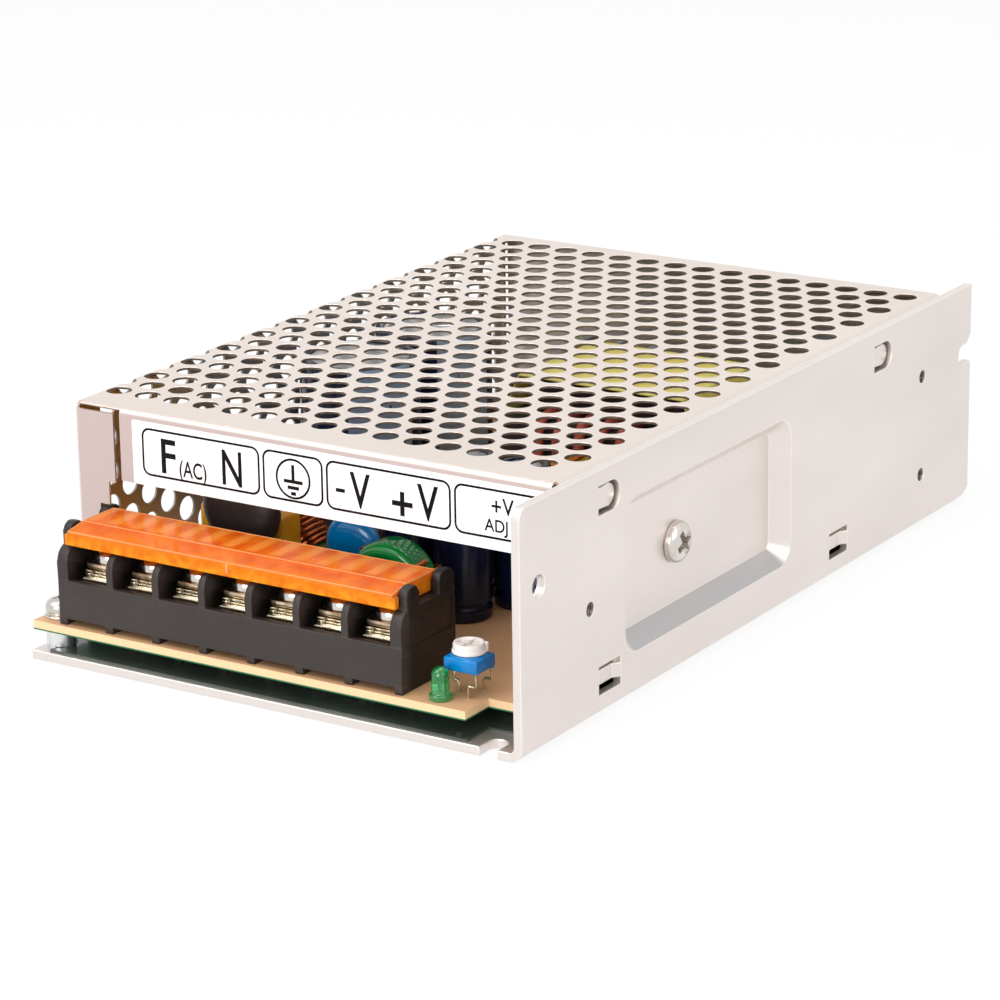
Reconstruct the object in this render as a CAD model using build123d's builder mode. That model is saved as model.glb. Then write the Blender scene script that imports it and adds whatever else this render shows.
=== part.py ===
from build123d import *
import os
from math import cos, hypot, radians, sin

# A mesh case switching power supply: a folded aluminium chassis with one tall side
# panel, a folded perforated cover, a circuit board on standoffs and a seven pole
# screw terminal block under a hinged clear lid.
# Millimetres. Every place is counted from the left face of the case, from its front
# edge and from the surface that it stands on. The origin is under the case's middle.

# Case
case_width = 98.0
case_length = 159.0
case_height = 42.0

# Chassis: base plate and right side panel, one folded sheet
plate = 1.5
plate_bend = 2.5                 # outer radius of the fold
panel_corner = 2.0               # radius of the panel's front top corner
panel_clip = 2.75                # cut corner at the panel's rear foot
slot_width = 3.5                 # open screw slot in the base's front edge
slot_depth = 4.5
slot_from_panel = 6.25
foot_hole_radius = 1.75          # plain hole near the base's rear edge
foot_hole_from_rear = 4.3
screw_hole_radius = 1.25         # core of an M3 thread
drawn_wall = 1.15                # wall of the collar drawn inwards round a thread
drawn_height = 1.3
side_hole_front = 21.0
side_hole_rear = 139.0
side_hole_front_height = 19.5
side_hole_rear_low = 10.2
side_hole_rear_high = 29.0
earth_hole_radius = 1.9
earth_hole_depth = 5.5
earth_hole_height = 28.0
base_hole_spread = 50.0          # spacing of the base's threads across the case
base_hole_front = 21.0
base_hole_rear = 139.0
rear_notch_low = 27.3
rear_notch_high = 31.0
rear_notch_depth = 5.0
rear_notch_flare = 1.6

# Pressed recess in the panel
recess_front = 32.0
recess_length = 56.5
recess_bottom = 8.0
recess_height = 26.5
recess_corner = 4.0
recess_depth = 3.0
recess_slope = 2.7

# Lanced hooks under the panel's top edge and pressed board slots near its foot
hook_places = (27.1, 123.0)      # middle of each hook, from the front
hook_middle = 36.8               # their height
hook_length = 6.8
hook_height = 5.0
hook_depth = 2.2
hook_wall = 0.8
strip_places = (27.0, 106.5)
strip_length = 7.0
strip_slit = 1.2
strip_width = 2.5
strip_middle = 6.35
strip_press = 1.0
strip_ramp = 1.4

# Upturned tabs on the base's left edge, which take the cover's screws
tab_places = (30.0, 125.0)
tab_width = 12.0
tab_height = 9.0
tab_bend = 1.8
cover_screw_height = 5.0
cover_head_radius = 2.8
cover_screw_radius = 1.2
screw_reach = 0.4                # how far a screw stands out behind its tab

# Mesh cover: one folded perforated sheet
sheet = 0.8
sheet_bend = 1.2                 # outer radius of its folds
cover_front = 14.0
cover_length = 136.6
cover_gap = 0.1                  # gap between the cover and the chassis round it
panel_flange_drop = 6.0          # depth of the flange hidden behind the panel
hook_window = 9.4                # length of the gap left in it round each hook
label_flange_left = 9.3
label_flange_drop = 12.7
corner_flange_right = 7.2
corner_flange_bottom = 7.6
block_clearance = 0.4            # between the corner flange and the terminal block
corner_seam = 0.2
rear_hole_radius = 1.6
rear_hole_left = 14.0
rear_hole_height = 33.0

# Perforation: staggered rows, one hole running over the left fold in every second row
hole_radius = 2.2
hole_pitch = 6.1
row_pitch = hole_pitch * sin(radians(60))
row_count = 24
first_row = 22.9
hole_count = 15
hole_left = 3.1
hole_sides = 4                   # the real holes are round
wall_hole_count = 5
wall_hole_top = 38.9
fold_hole_left = 0.05

# Circuit board, standoffs and film
standoff_height = 3.7
standoff_radius = 2.5
board = 1.6
board_edge = 0.3                 # gap between the board and the case round it
board_front = 0.3
board_length = 148.2
board_step_depth = 13.1          # in front of this the board is a little wider
board_step = 0.9
board_notch_left = 87.3          # notch that clears the open screw slot
board_notch_depth = 6.9
board_screw_gap = 0.35           # round each screw in the board
board_screw_bite = 3.0           # how far it goes into its standoff
board_gap = 0.5                  # round the tabs and pressed strips
film = 0.4
film_margin = 0.8
film_gap = 0.4
washer = 0.6
board_head_radius = 2.5
board_head_height = 1.9
board_screw_radius = 1.25
screw_gap = 0.05                 # radial gap of a screw in its own thread

# Terminal block
block_left = 5.4
block_front = 1.0
block_depth = 16.0
block_foot = 1.2
block_foot_width = 1.5
pole_count = 7
pole_pitch = 9.5
partition = 1.4
end_wall = 2.2
pole_floor = 14.2
front_wall = 1.2
front_wall_top = 14.8
partition_top = 20.7
partition_round = 1.5
rear_wall = 1.4
block_screw_gap = 0.25
post = 1.6
post_top = 24.2
post_gap = 0.3                   # between the lid's lip and the front posts
post_length = 3.6
post_round = 0.8
hinge_post_front = 12.5
hinge_depth = 15.2
hinge_height = 21.8
hinge_pin_radius = 1.2
hinge_gap = 0.08                 # radial gap of each pin in its post

# Metal of each pole
strip_metal = 1.0
strip_side_gap = 0.55
strip_front = 2.4
strip_back = 13.4
leg_width = 1.6
leg_gap = 0.1
leg_tail = 1.4                   # how far a leg stands out under the board
clamp_side = 6.6
clamp_metal = 1.0
clamp_lift = 1.0                 # gap left open under each clamp plate
terminal_screw_depth = 8.0
terminal_screw_radius = 1.45
terminal_head_radius = 2.9
terminal_head_height = 2.2
terminal_screw_length = 7.2

# Hinged lid over the terminals
lid = 1.0
lid_front = 1.7
lid_bottom = 20.9
lid_shoulder = 23.3
lid_slope_end = 6.0
lid_top = 24.0
lid_back = 14.3
lid_end_gap = 0.4
lid_lip_reach = 0.6
lid_fold = 0.5
ear_radius = 1.9
ear_gap = 0.3

# Trimmer and status lamp
trimmer_left = 80.0
trimmer_width = 6.4
trimmer_front = 5.2
trimmer_depth = 5.7
trimmer_lift = 4.2
trimmer_height = 2.6
knob_radius = 2.8
knob_height = 1.7
knob_gap = 0.1
knob_shaft_radius = 0.8
knob_slot = 0.9
knob_slot_length = 4.4
pin_radius = 0.25
pin_inset = 0.6
pin_jog = 0.9
lamp_left = 80.8
lamp_depth = 3.2
lamp_radius = 1.5
lamp_flange_radius = 1.9
lamp_flange = 1.0
lamp_height = 5.5

# Parts on the board
lead_radius = 0.4
thermistor_radius = 7.8
thermistor_depth = 5.0
thermistor_place = (28.5, 22.5)
thermistor_height = 25.0         # of its middle, like the discs below
disc_radius = 5.5
disc_depth = 4.0
disc_height = 19.5
disc_round = 1.3                 # bevel that stands for a disc's rounded rim
disc_places = ((46.5, 29.5), (64.0, 136.0))
film_box = (17.5, 6.4, 14.7)
film_lift = 2.0
film_round = 1.4                 # bevel that stands for its rounded corners
film_place = (25.25, 29.2)
output_can_radius = 5.0
output_can_height = 25.0
output_can_places = ((62.0, 39.0), (51.0, 39.0), (56.5, 49.5), (67.5, 49.5))
bulk_can_radius = 11.0
bulk_can_height = 30.0
bulk_can_places = ((15.0, 78.0), (15.0, 102.0))
small_can_radius = 2.5
small_can_height = 11.0
small_can_places = ((10.0, 140.0), (17.0, 140.0), (84.0, 125.0))
crimp_height = 2.6               # of the groove rolled into each can
crimp_depth = 0.5
fuse_radius = 2.6
fuse_length = 20.0
fuse_cap = 5.0
fuse_place = (8.0, 31.0)
fuse_height = 10.4
clip_wall = 0.5
clip_width = 4.0
bridge_box = (22.0, 3.8, 15.0)
bridge_lift = 3.0
bridge_place = (17.0, 61.0)
bridge_corner = 3.0

# Ring chokes: place and height of the middle, outer and inner radius, depth
output_choke = (59.5, 22.0, 17.3, 7.4, 4.2, 6.2)
filter_choke = (31.5, 44.0, 18.3, 10.0, 5.5, 8.0)
smoothing_choke = (66.0, 68.0, 17.8, 9.5, 5.0, 8.0)
wire = 0.9                       # thickness of a winding's layer of wire
wire_gap = 0.05

# Transformer, along its winding's axis from the front
core_left = 43.0
core_front = 81.0
core_width = 40.0
core_depth = 29.0
core_height = 13.0
core_middle = 22.0               # height of its middle
core_leg = 5.5
core_centre_leg = 11.0
winding_height = 28.0
bobbin_wall = 1.2
bobbin_gap = 0.2
tube_wall = 1.0

# Power packages held against the recess by a bar
package_width = 10.2
package_body = 9.0
package_tab = 6.0
package_depth = 4.5
package_tab_metal = 1.3
package_bottom = 14.0
package_spread = 11.5            # from the clamp screw to the middle of each package
package_leg = 0.8
package_leg_pitch = 2.54
pad = 0.3
pad_margin = 0.8
bar_metal = 1.5
bar_height = 7.0
bar_length = 36.0
clamp_screw_depth = 53.0
clamp_screw_height = 21.4
clamp_screw_length = 8.6
clamp_head_radius = 3.6
clamp_head_height = 2.1

# Small parts at the rear
heatsink_place = (48.0, 122.0)
heatsink_width = 30.0
heatsink_metal = 2.0
heatsink_height = 24.0
fin_count = 5
fin_depth = 6.0
fin = 1.2
chip_place = (26.0, 134.0)
chip_box = (9.4, 6.4, 3.4)
optocoupler_place = (70.0, 122.0)
optocoupler_box = (4.6, 6.4, 3.4)
chip_lift = 0.6
chip_leg = 0.5
chip_pitch = 2.54
resistor_box = (20.0, 6.4, 6.4)
resistor_place = (40.0, 142.0)

# Worked out from the sizes above
panel_inner = case_width - plate
board_bottom = plate + standoff_height
board_top = board_bottom + board
cover_right = panel_inner - cover_gap
cover_bottom = plate + cover_gap
cover_back = cover_front + cover_length
fold_top = case_height - sheet_bend
tab_left = sheet + cover_gap
pole_width = pole_pitch - partition
block_width = 2 * end_wall + (pole_count - 1) * pole_pitch + pole_width
block_back = block_front + block_depth
rear_wall_top = hinge_height - ear_radius - ear_gap
post_front = lid_front + lid + post_gap
block_bottom = board_top + block_foot
block_right = block_left + block_width
strip_top = pole_floor + strip_metal
clamp_bottom = strip_top + clamp_lift
clamp_top = clamp_bottom + clamp_metal
lid_left = block_left + post + lid_end_gap
lid_width = block_width - 2 * post - 2 * lid_end_gap
recess_wall_shift = plate * hypot(recess_slope, recess_depth) / recess_depth
recess_back = case_width - recess_depth - plate
package_face = recess_back - pad
bar_face = package_face - package_depth


def pole_middle(pole):
    """Middle of a pole of the terminal block, from the left face of the case."""
    return block_left + end_wall + pole_width / 2 + pole * pole_pitch


standoff_places = [
    (2.8, 4.5),
    (5.0, 144.0),
    (92.5, 144.0),
    (92.0, 14.0),
    (38.0, 74.0),
]
base_hole_places = [
    (case_width / 2 + side * base_hole_spread / 2, depth)
    for side in (-1, 1)
    for depth in (base_hole_front, base_hole_rear)
]
side_hole_places = [
    (side_hole_front, side_hole_front_height),
    (side_hole_rear, side_hole_rear_low),
    (side_hole_rear, side_hole_rear_high),
]


def level(height):
    """Horizontal plane at a height, with x from the left face and y from the front."""
    return Plane(origin=(-case_width / 2, -case_length / 2, height))


def facing(depth):
    """Upright plane that looks to the front, with x from the left and y as height."""
    start = (-case_width / 2, depth - case_length / 2, 0)
    return Plane(origin=start, x_dir=(1, 0, 0), z_dir=(0, -1, 0))


def beside(left):
    """Upright plane that looks to the right, with x from the front and y as height."""
    start = (left - case_width / 2, -case_length / 2, 0)
    return Plane(origin=start, x_dir=(0, 1, 0), z_dir=(1, 0, 0))


def looking_left(left):
    """Upright plane that looks to the left, with x towards the front and y as height."""
    start = (left - case_width / 2, -case_length / 2, 0)
    return Plane(origin=start, x_dir=(0, -1, 0), z_dir=(-1, 0, 0))


def save(piece, name):
    """Give a finished piece its name and write it."""
    piece.part.label = name
    export_step(piece.part, f"parts/{name}.step")


cover_screw_places = [looking_left(0) * Location((-place, cover_screw_height)) for place in tab_places]
os.makedirs("parts", exist_ok=True)

# Chassis
with BuildPart() as chassis:
    with BuildSketch(facing(case_length)):
        with BuildLine():
            corner = (case_width, 0)
            FilletPolyline((0, 0), corner, (case_width, case_height), radius=plate_bend)
            offset(amount=plate, side=Side.LEFT)
        make_face()
    extrude(amount=case_length)
    top_edges = chassis.edges().filter_by(Axis.X).group_by(Axis.Z)[-1]
    fillet(top_edges.group_by(Axis.Y)[0], radius=panel_corner)

    # Tabs turned up from the left edge, each between two reliefs
    with BuildSketch(level(0)):
        for place in tab_places:
            with Locations((tab_left / 2, place)):
                Rectangle(tab_left, tab_width + plate)
            for end in (-1, 1):
                with Locations((tab_left + tab_bend / 2, place + end * (tab_width + plate / 2) / 2)):
                    Rectangle(tab_bend, plate / 2)
    extrude(amount=plate, mode=Mode.SUBTRACT)
    for place in tab_places:
        with BuildSketch(facing(place + tab_width / 2)):
            with BuildLine():
                FilletPolyline(
                    (tab_left + 2 * tab_bend, 0), (tab_left, 0), (tab_left, tab_height),
                    radius=tab_bend,
                )
                offset(amount=plate, side=Side.RIGHT)
            make_face()
        extrude(amount=tab_width)
    with Locations(cover_screw_places):
        CounterSinkHole(
            cover_screw_radius + screw_gap, cover_head_radius + screw_gap,
            depth=tab_left + 2 * plate, counter_sink_angle=90,
        )

    # Collars drawn inwards round the threads, then the holes
    with BuildSketch(level(plate)):
        with Locations(base_hole_places):
            Circle(screw_hole_radius + drawn_wall)
    extrude(amount=drawn_height)
    with BuildSketch(level(0)):
        with Locations(base_hole_places):
            Circle(screw_hole_radius)
    extrude(amount=plate + drawn_height, mode=Mode.SUBTRACT)
    with BuildSketch(beside(panel_inner)):
        with Locations(side_hole_places):
            Circle(screw_hole_radius + drawn_wall)
    extrude(amount=-drawn_height)
    with BuildSketch(beside(case_width)):
        with Locations(side_hole_places):
            Circle(screw_hole_radius)
        with Locations((earth_hole_depth, earth_hole_height)):
            Circle(earth_hole_radius)
    extrude(amount=-plate - drawn_height, mode=Mode.SUBTRACT)

    # Open slot in the front edge and plain hole near the rear edge of the base
    with BuildSketch(level(0)):
        with Locations((case_width - slot_from_panel, 0)):
            SlotCenterToCenter(2 * (slot_depth - slot_width / 2), slot_width, rotation=90)
        with Locations((case_width - slot_from_panel, case_length - foot_hole_from_rear)):
            Circle(foot_hole_radius)
    extrude(amount=plate, mode=Mode.SUBTRACT)

    # Notch in the panel's rear edge and its cut foot
    with BuildSketch(beside(case_width)):
        with BuildLine():
            notch_floor = case_length - rear_notch_depth
            notch_radius = (rear_notch_high - rear_notch_low) / 2
            flare_top = rear_notch_high + rear_notch_flare
            Line((case_length, rear_notch_low), (notch_floor + notch_radius, rear_notch_low))
            RadiusArc(
                (notch_floor + notch_radius, rear_notch_low),
                (notch_floor + notch_radius, rear_notch_high),
                notch_radius,
            )
            Polyline(
                (notch_floor + notch_radius, rear_notch_high),
                (case_length - rear_notch_flare, rear_notch_high),
                (case_length, flare_top),
                (case_length, rear_notch_low),
            )
        make_face()
        with BuildLine():
            Polyline(
                (case_length - panel_clip, 0), (case_length, 0), (case_length, panel_clip),
                close=True,
            )
        make_face()
    extrude(amount=-plate_bend, mode=Mode.SUBTRACT)

    # Recess: its back is added behind the panel, then its hollow is pressed out
    recess_centre = (recess_front + recess_length / 2, recess_bottom + recess_height / 2)
    for depth, shift in (
        (plate, recess_wall_shift - recess_slope * plate / recess_depth),
        (recess_depth + plate, recess_wall_shift - recess_slope * (recess_depth + plate) / recess_depth),
    ):
        with BuildSketch(beside(case_width - depth)):
            with Locations(recess_centre):
                RectangleRounded(recess_length + 2 * shift, recess_height + 2 * shift, recess_corner + shift)
    loft()
    for depth, shift in ((0, 0), (recess_depth, -recess_slope)):
        with BuildSketch(beside(case_width - depth)):
            with Locations(recess_centre):
                RectangleRounded(recess_length + 2 * shift, recess_height + 2 * shift, recess_corner + shift)
    loft(mode=Mode.SUBTRACT)
    with Locations(beside(recess_back) * Location((clamp_screw_depth, clamp_screw_height))):
        Cylinder(terminal_screw_radius + screw_gap, 4 * plate, mode=Mode.SUBTRACT)

    # Hooks: half round dents, open at their straight front side
    hook_straight = hook_length - hook_height / 2
    for depth, reach, sense, mode in (
        (plate, hook_height / 2 + hook_wall, plate - hook_depth - hook_wall, Mode.ADD),
        (0, hook_height / 2, -hook_depth, Mode.SUBTRACT),
    ):
        with BuildSketch(beside(case_width - depth)):
            for place in hook_places:
                with Locations((place - hook_length / 2, hook_middle)):
                    Rectangle(hook_straight, 2 * reach, align=(Align.MIN, Align.CENTER))
                with Locations((place - hook_length / 2 + hook_straight, hook_middle)):
                    Circle(reach)
        extrude(amount=sense, mode=mode)

    # Board slots: two slits with the strip between them pressed inwards
    with BuildSketch(beside(case_width)):
        with Locations([(place, strip_middle) for place in strip_places]):
            Rectangle(strip_length, strip_width + 2 * strip_slit)
    extrude(amount=-plate, mode=Mode.SUBTRACT)
    for place in strip_places:
        with BuildSketch(level(strip_middle - strip_width / 2)):
            with BuildLine():
                front = place - strip_length / 2
                back = place + strip_length / 2
                Polyline(
                    (case_width, front),
                    (case_width - strip_press, front + strip_ramp),
                    (case_width - strip_press, back - strip_ramp),
                    (case_width, back),
                    (panel_inner, back),
                    (panel_inner - strip_press, back - strip_ramp),
                    (panel_inner - strip_press, front + strip_ramp),
                    (panel_inner, front),
                    close=True,
                )
            make_face()
        extrude(amount=strip_width)
save(chassis, "chassis")

# Mesh cover
with BuildPart() as mesh_cover:
    # Left wall, top and the flange behind the panel
    with BuildSketch(facing(cover_back - sheet_bend)):
        with BuildLine():
            FilletPolyline(
                (0, cover_bottom), (0, case_height), (cover_right, case_height),
                (cover_right, case_height - panel_flange_drop),
                radius=sheet_bend,
            )
            offset(amount=sheet, side=Side.RIGHT)
        make_face()
    extrude(amount=cover_length - 2 * sheet_bend)

    # Rear wall, folded down from the top, and the label flange at the front
    with BuildSketch(beside(sheet_bend)):
        with BuildLine():
            FilletPolyline(
                (cover_back - 2 * sheet_bend, case_height), (cover_back, case_height),
                (cover_back, cover_bottom),
                radius=sheet_bend,
            )
            offset(amount=sheet, side=Side.RIGHT)
        make_face()
    extrude(amount=cover_right - 2 * sheet_bend)
    with BuildSketch(beside(label_flange_left)):
        with BuildLine():
            FilletPolyline(
                (cover_front + 2 * sheet_bend, case_height), (cover_front, case_height),
                (cover_front, case_height - label_flange_drop),
                radius=sheet_bend,
            )
            offset(amount=sheet, side=Side.LEFT)
        make_face()
    extrude(amount=cover_right - sheet_bend - label_flange_left)

    # Small flange folded from the left wall, and the walls' ends beside the folds
    with BuildSketch(level(corner_flange_bottom)):
        with BuildLine():
            FilletPolyline(
                (0, cover_front + 2 * sheet_bend), (0, cover_front), (corner_flange_right, cover_front),
                radius=sheet_bend,
            )
            offset(amount=sheet, side=Side.LEFT)
        make_face()
    extrude(amount=fold_top - corner_flange_bottom)
    with BuildSketch(facing(cover_front)):
        with Locations((block_left - block_clearance, post_top + block_clearance)):
            Rectangle(corner_flange_right, case_height, align=(Align.MIN, Align.MAX))
    extrude(amount=-sheet, mode=Mode.SUBTRACT)
    with BuildSketch(level(cover_bottom)):
        with Locations((0, cover_front + sheet_bend)):
            Rectangle(sheet, cover_length - sheet_bend, align=Align.MIN)
        with Locations((sheet + corner_seam, cover_back)):
            Rectangle(cover_right - sheet - corner_seam, sheet, align=(Align.MIN, Align.MAX))
    extrude(amount=fold_top - cover_bottom)
    rear_foot = mesh_cover.edges().filter_by(Axis.Y).group_by(Axis.Z)[0].sort_by(Axis.X)[-1]
    chamfer(rear_foot, length=plate_bend - plate)
    with BuildSketch(level(case_height - sheet)):
        with Locations((sheet_bend, cover_front)):
            Rectangle(label_flange_left - sheet_bend, 2 * sheet_bend, align=Align.MIN)
    extrude(amount=sheet)
    with BuildSketch(facing(cover_front)):
        with Locations((cover_right - 2 * sheet_bend, fold_top)):
            Rectangle(2 * sheet_bend, label_flange_drop - sheet_bend, align=(Align.MIN, Align.MAX))
    extrude(amount=-sheet)

    # Gaps in the hidden flange round the panel's hooks
    with BuildSketch(beside(cover_right)):
        for place in hook_places:
            with Locations((place, fold_top)):
                Rectangle(hook_window, panel_flange_drop, align=(Align.CENTER, Align.MAX))
    extrude(amount=-sheet, mode=Mode.SUBTRACT)

    # Perforation of the top and of the left wall
    rows = [(first_row + row * row_pitch, row % 2) for row in range(row_count)]
    with BuildSketch(level(case_height)):
        for depth, second in rows:
            with Locations((hole_left + second * hole_pitch / 2, depth)):
                with GridLocations(hole_pitch, 1, hole_count, 1, align=(Align.MIN, Align.CENTER)):
                    RegularPolygon(hole_radius, hole_sides)
    extrude(amount=-sheet, mode=Mode.SUBTRACT)
    with BuildSketch(beside(0)):
        for depth, second in rows:
            wall_top = wall_hole_top - second * hole_pitch / 2
            with Locations((depth, wall_top)):
                with GridLocations(1, hole_pitch, 1, wall_hole_count, align=(Align.CENTER, Align.MAX)):
                    RegularPolygon(hole_radius, hole_sides)
    extrude(amount=sheet, mode=Mode.SUBTRACT)

    # Holes that run over the left fold, and the screw holes
    fold_middle = (-case_width / 2 + fold_hole_left, -case_length / 2, case_height - fold_hole_left)
    fold_plane = Plane(origin=fold_middle, x_dir=(0, 1, 0), z_dir=(-1, 0, 1))
    with BuildSketch(fold_plane):
        with Locations([(depth, 0) for depth, second in rows if second]):
            RegularPolygon(hole_radius, hole_sides)
    extrude(amount=-2 * sheet_bend, mode=Mode.SUBTRACT)
    with BuildSketch(facing(cover_back)):
        with Locations((rear_hole_left, rear_hole_height)):
            Circle(rear_hole_radius)
    extrude(amount=sheet, mode=Mode.SUBTRACT)
    with Locations(cover_screw_places):
        CounterSinkHole(
            cover_screw_radius + screw_gap, cover_head_radius + screw_gap, depth=2 * sheet,
            counter_sink_angle=90,
        )
save(mesh_cover, "mesh_cover")

# Circuit board
board_holes = [(pole_middle(pole), strip_back - strip_metal / 2) for pole in range(pole_count)]
with BuildPart() as circuit_board:
    with BuildSketch(level(board_bottom)):
        with Locations((board_edge, board_front)):
            Rectangle(panel_inner - 2 * board_edge, board_length, align=Align.MIN)
        with Locations((0, board_front + board_step_depth)):
            Rectangle(board_edge + board_step, board_length, align=Align.MIN, mode=Mode.SUBTRACT)
        with Locations((board_notch_left, 0)):
            Rectangle(case_width, board_front + board_notch_depth, align=Align.MIN, mode=Mode.SUBTRACT)
        with Locations([(0, place) for place in tab_places]):
            Rectangle(
                tab_left + plate + screw_reach + board_gap, tab_width + 2 * board_gap,
                align=(Align.MIN, Align.CENTER), mode=Mode.SUBTRACT,
            )
        with Locations([(panel_inner, place) for place in strip_places]):
            Rectangle(
                2 * (strip_press + board_gap), strip_length + 2 * board_gap, mode=Mode.SUBTRACT
            )
        with Locations(standoff_places):
            Circle(board_screw_radius + board_screw_gap, mode=Mode.SUBTRACT)
        with Locations(board_holes):
            Rectangle(leg_width + 2 * leg_gap, strip_metal + 2 * leg_gap, mode=Mode.SUBTRACT)
    extrude(amount=board)
save(circuit_board, "circuit_board")

# Insulating film on the base, cut out round whatever stands there
film_left = tab_left + plate + film_margin
film_right = case_width - plate_bend - film_margin
with BuildPart() as insulating_film:
    with BuildSketch(level(plate)):
        with Locations((film_left, film_margin)):
            Rectangle(
                film_right - film_left, cover_back - sheet - 2 * film_margin, align=Align.MIN
            )
        with Locations((board_notch_left, 0)):
            Rectangle(case_width, board_front + board_notch_depth, align=Align.MIN, mode=Mode.SUBTRACT)
        with Locations(base_hole_places):
            Circle(screw_hole_radius + drawn_wall + film_gap, mode=Mode.SUBTRACT)
        with Locations(standoff_places):
            Circle(standoff_radius + film_gap, mode=Mode.SUBTRACT)
    extrude(amount=film)
save(insulating_film, "insulating_film")

# Standoffs, with the washers and screws that hold the board on them
with BuildPart() as standoffs:
    with BuildSketch(level(plate)):
        with Locations(standoff_places):
            Circle(standoff_radius)
            Circle(board_screw_radius + screw_gap, mode=Mode.SUBTRACT)
    extrude(amount=standoff_height)
save(standoffs, "standoffs")

with BuildPart() as board_washers:
    with BuildSketch(level(board_top)):
        with Locations(standoff_places):
            Circle(board_head_radius)
            Circle(board_screw_radius + board_screw_gap, mode=Mode.SUBTRACT)
    extrude(amount=washer)
save(board_washers, "board_washers")

with BuildPart() as board_screws:
    with BuildSketch(level(board_top + washer)):
        with Locations(standoff_places):
            Circle(board_head_radius)
    extrude(amount=board_head_height)
    with BuildSketch(level(board_top + washer)):
        with Locations(standoff_places):
            Circle(board_screw_radius)
    extrude(amount=-washer - board - board_screw_bite)
save(board_screws, "board_screws")

# Terminal block
with BuildPart() as terminal_block:
    with BuildSketch(level(block_bottom)):
        with Locations((block_left, block_front)):
            Rectangle(block_width, block_depth, align=Align.MIN)
    extrude(amount=pole_floor - block_bottom)
    with BuildSketch(level(board_top)):
        for foot in range(pole_count + 1):
            outermost = foot * (block_width - block_foot_width) / pole_count
            with Locations((block_left + outermost, block_front)):
                Rectangle(block_foot_width, block_depth, align=Align.MIN)
    extrude(amount=block_foot)

    # Walls between the poles and at the ends
    walls = [(block_left, end_wall), (block_right - end_wall, end_wall)]
    walls += [
        (pole_middle(pole) + pole_width / 2, partition) for pole in range(pole_count - 1)
    ]
    for left, thickness in walls:
        with BuildSketch(beside(left)) as wall_face:
            with Locations((block_front, pole_floor)):
                Rectangle(block_depth - rear_wall, partition_top - pole_floor, align=Align.MIN)
            fillet(wall_face.vertices().group_by(Axis.Z)[-1].sort_by(Axis.Y)[0], partition_round)
        extrude(amount=thickness)
    with BuildSketch(level(pole_floor)):
        with Locations((block_left, block_front)):
            Rectangle(block_width, front_wall, align=Align.MIN)
    extrude(amount=front_wall_top - pole_floor)
    with BuildSketch(level(pole_floor)):
        with Locations((block_left, block_back)):
            Rectangle(block_width, rear_wall, align=(Align.MIN, Align.MAX))
    extrude(amount=rear_wall_top - pole_floor)

    # Posts at both ends, the rear ones with the hinge holes
    for left, ear_side in ((block_left, block_left + post), (block_right - post, block_right - end_wall)):
        with BuildSketch(beside(ear_side)):
            with Locations((hinge_depth - ear_radius - ear_gap, rear_wall_top)):
                Rectangle(block_depth, post_top, align=Align.MIN)
        extrude(amount=end_wall - post, mode=Mode.SUBTRACT)
        with BuildSketch(beside(left)) as post_face:
            with Locations((post_front, pole_floor)):
                Rectangle(post_length, post_top - pole_floor, align=Align.MIN)
            with Locations((block_back, pole_floor)):
                Rectangle(
                    block_back - hinge_post_front, post_top - pole_floor,
                    align=(Align.MAX, Align.MIN),
                )
            fillet(post_face.vertices().group_by(Axis.Z)[-1], post_round)
        extrude(amount=post)
    with BuildSketch(beside(block_left)):
        with Locations((hinge_depth, hinge_height)):
            Circle(hinge_pin_radius + hinge_gap)
    extrude(amount=block_width, mode=Mode.SUBTRACT)

    # Room for each pole's screw and for its leg
    with BuildSketch(level(pole_floor)):
        for pole in range(pole_count):
            with Locations((pole_middle(pole), terminal_screw_depth)):
                Circle(terminal_screw_radius + block_screw_gap)
    extrude(amount=clamp_top - terminal_screw_length - block_screw_gap - pole_floor, mode=Mode.SUBTRACT)
    with BuildSketch(level(pole_floor)):
        with Locations(board_holes):
            Rectangle(leg_width + 2 * leg_gap, strip_metal + 2 * leg_gap)
    extrude(amount=board_top - pole_floor, mode=Mode.SUBTRACT)
save(terminal_block, "terminal_block")

# Contact strips, each with a leg down through the board
for pole in range(pole_count):
    with BuildPart() as contact_strip:
        with BuildSketch(level(pole_floor)):
            with Locations((pole_middle(pole), strip_front)):
                Rectangle(
                    pole_width - 2 * strip_side_gap, strip_back - strip_front,
                    align=(Align.CENTER, Align.MIN),
                )
            with Locations((pole_middle(pole), terminal_screw_depth)):
                Circle(terminal_screw_radius + screw_gap, mode=Mode.SUBTRACT)
        extrude(amount=strip_metal)
        with BuildSketch(level(pole_floor)):
            with Locations((pole_middle(pole), strip_back)):
                Rectangle(leg_width, strip_metal, align=(Align.CENTER, Align.MAX))
        extrude(amount=board_bottom - leg_tail - pole_floor)
    save(contact_strip, f"contact_strip_{pole + 1}")

# Clamp plates and their screws
pole_screws = [(pole_middle(pole), terminal_screw_depth) for pole in range(pole_count)]
with BuildPart() as clamp_plates:
    with BuildSketch(level(clamp_bottom)):
        with Locations(pole_screws):
            Rectangle(clamp_side, clamp_side)
            Circle(terminal_screw_radius + screw_gap, mode=Mode.SUBTRACT)
    extrude(amount=clamp_metal)
save(clamp_plates, "clamp_plates")

with BuildPart() as terminal_screws:
    with BuildSketch(level(clamp_top)):
        with Locations(pole_screws):
            Circle(terminal_head_radius)
    extrude(amount=terminal_head_height)
    with BuildSketch(level(clamp_top)):
        with Locations(pole_screws):
            Circle(terminal_screw_radius)
    extrude(amount=-terminal_screw_length)
save(terminal_screws, "terminal_screws")

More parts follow.
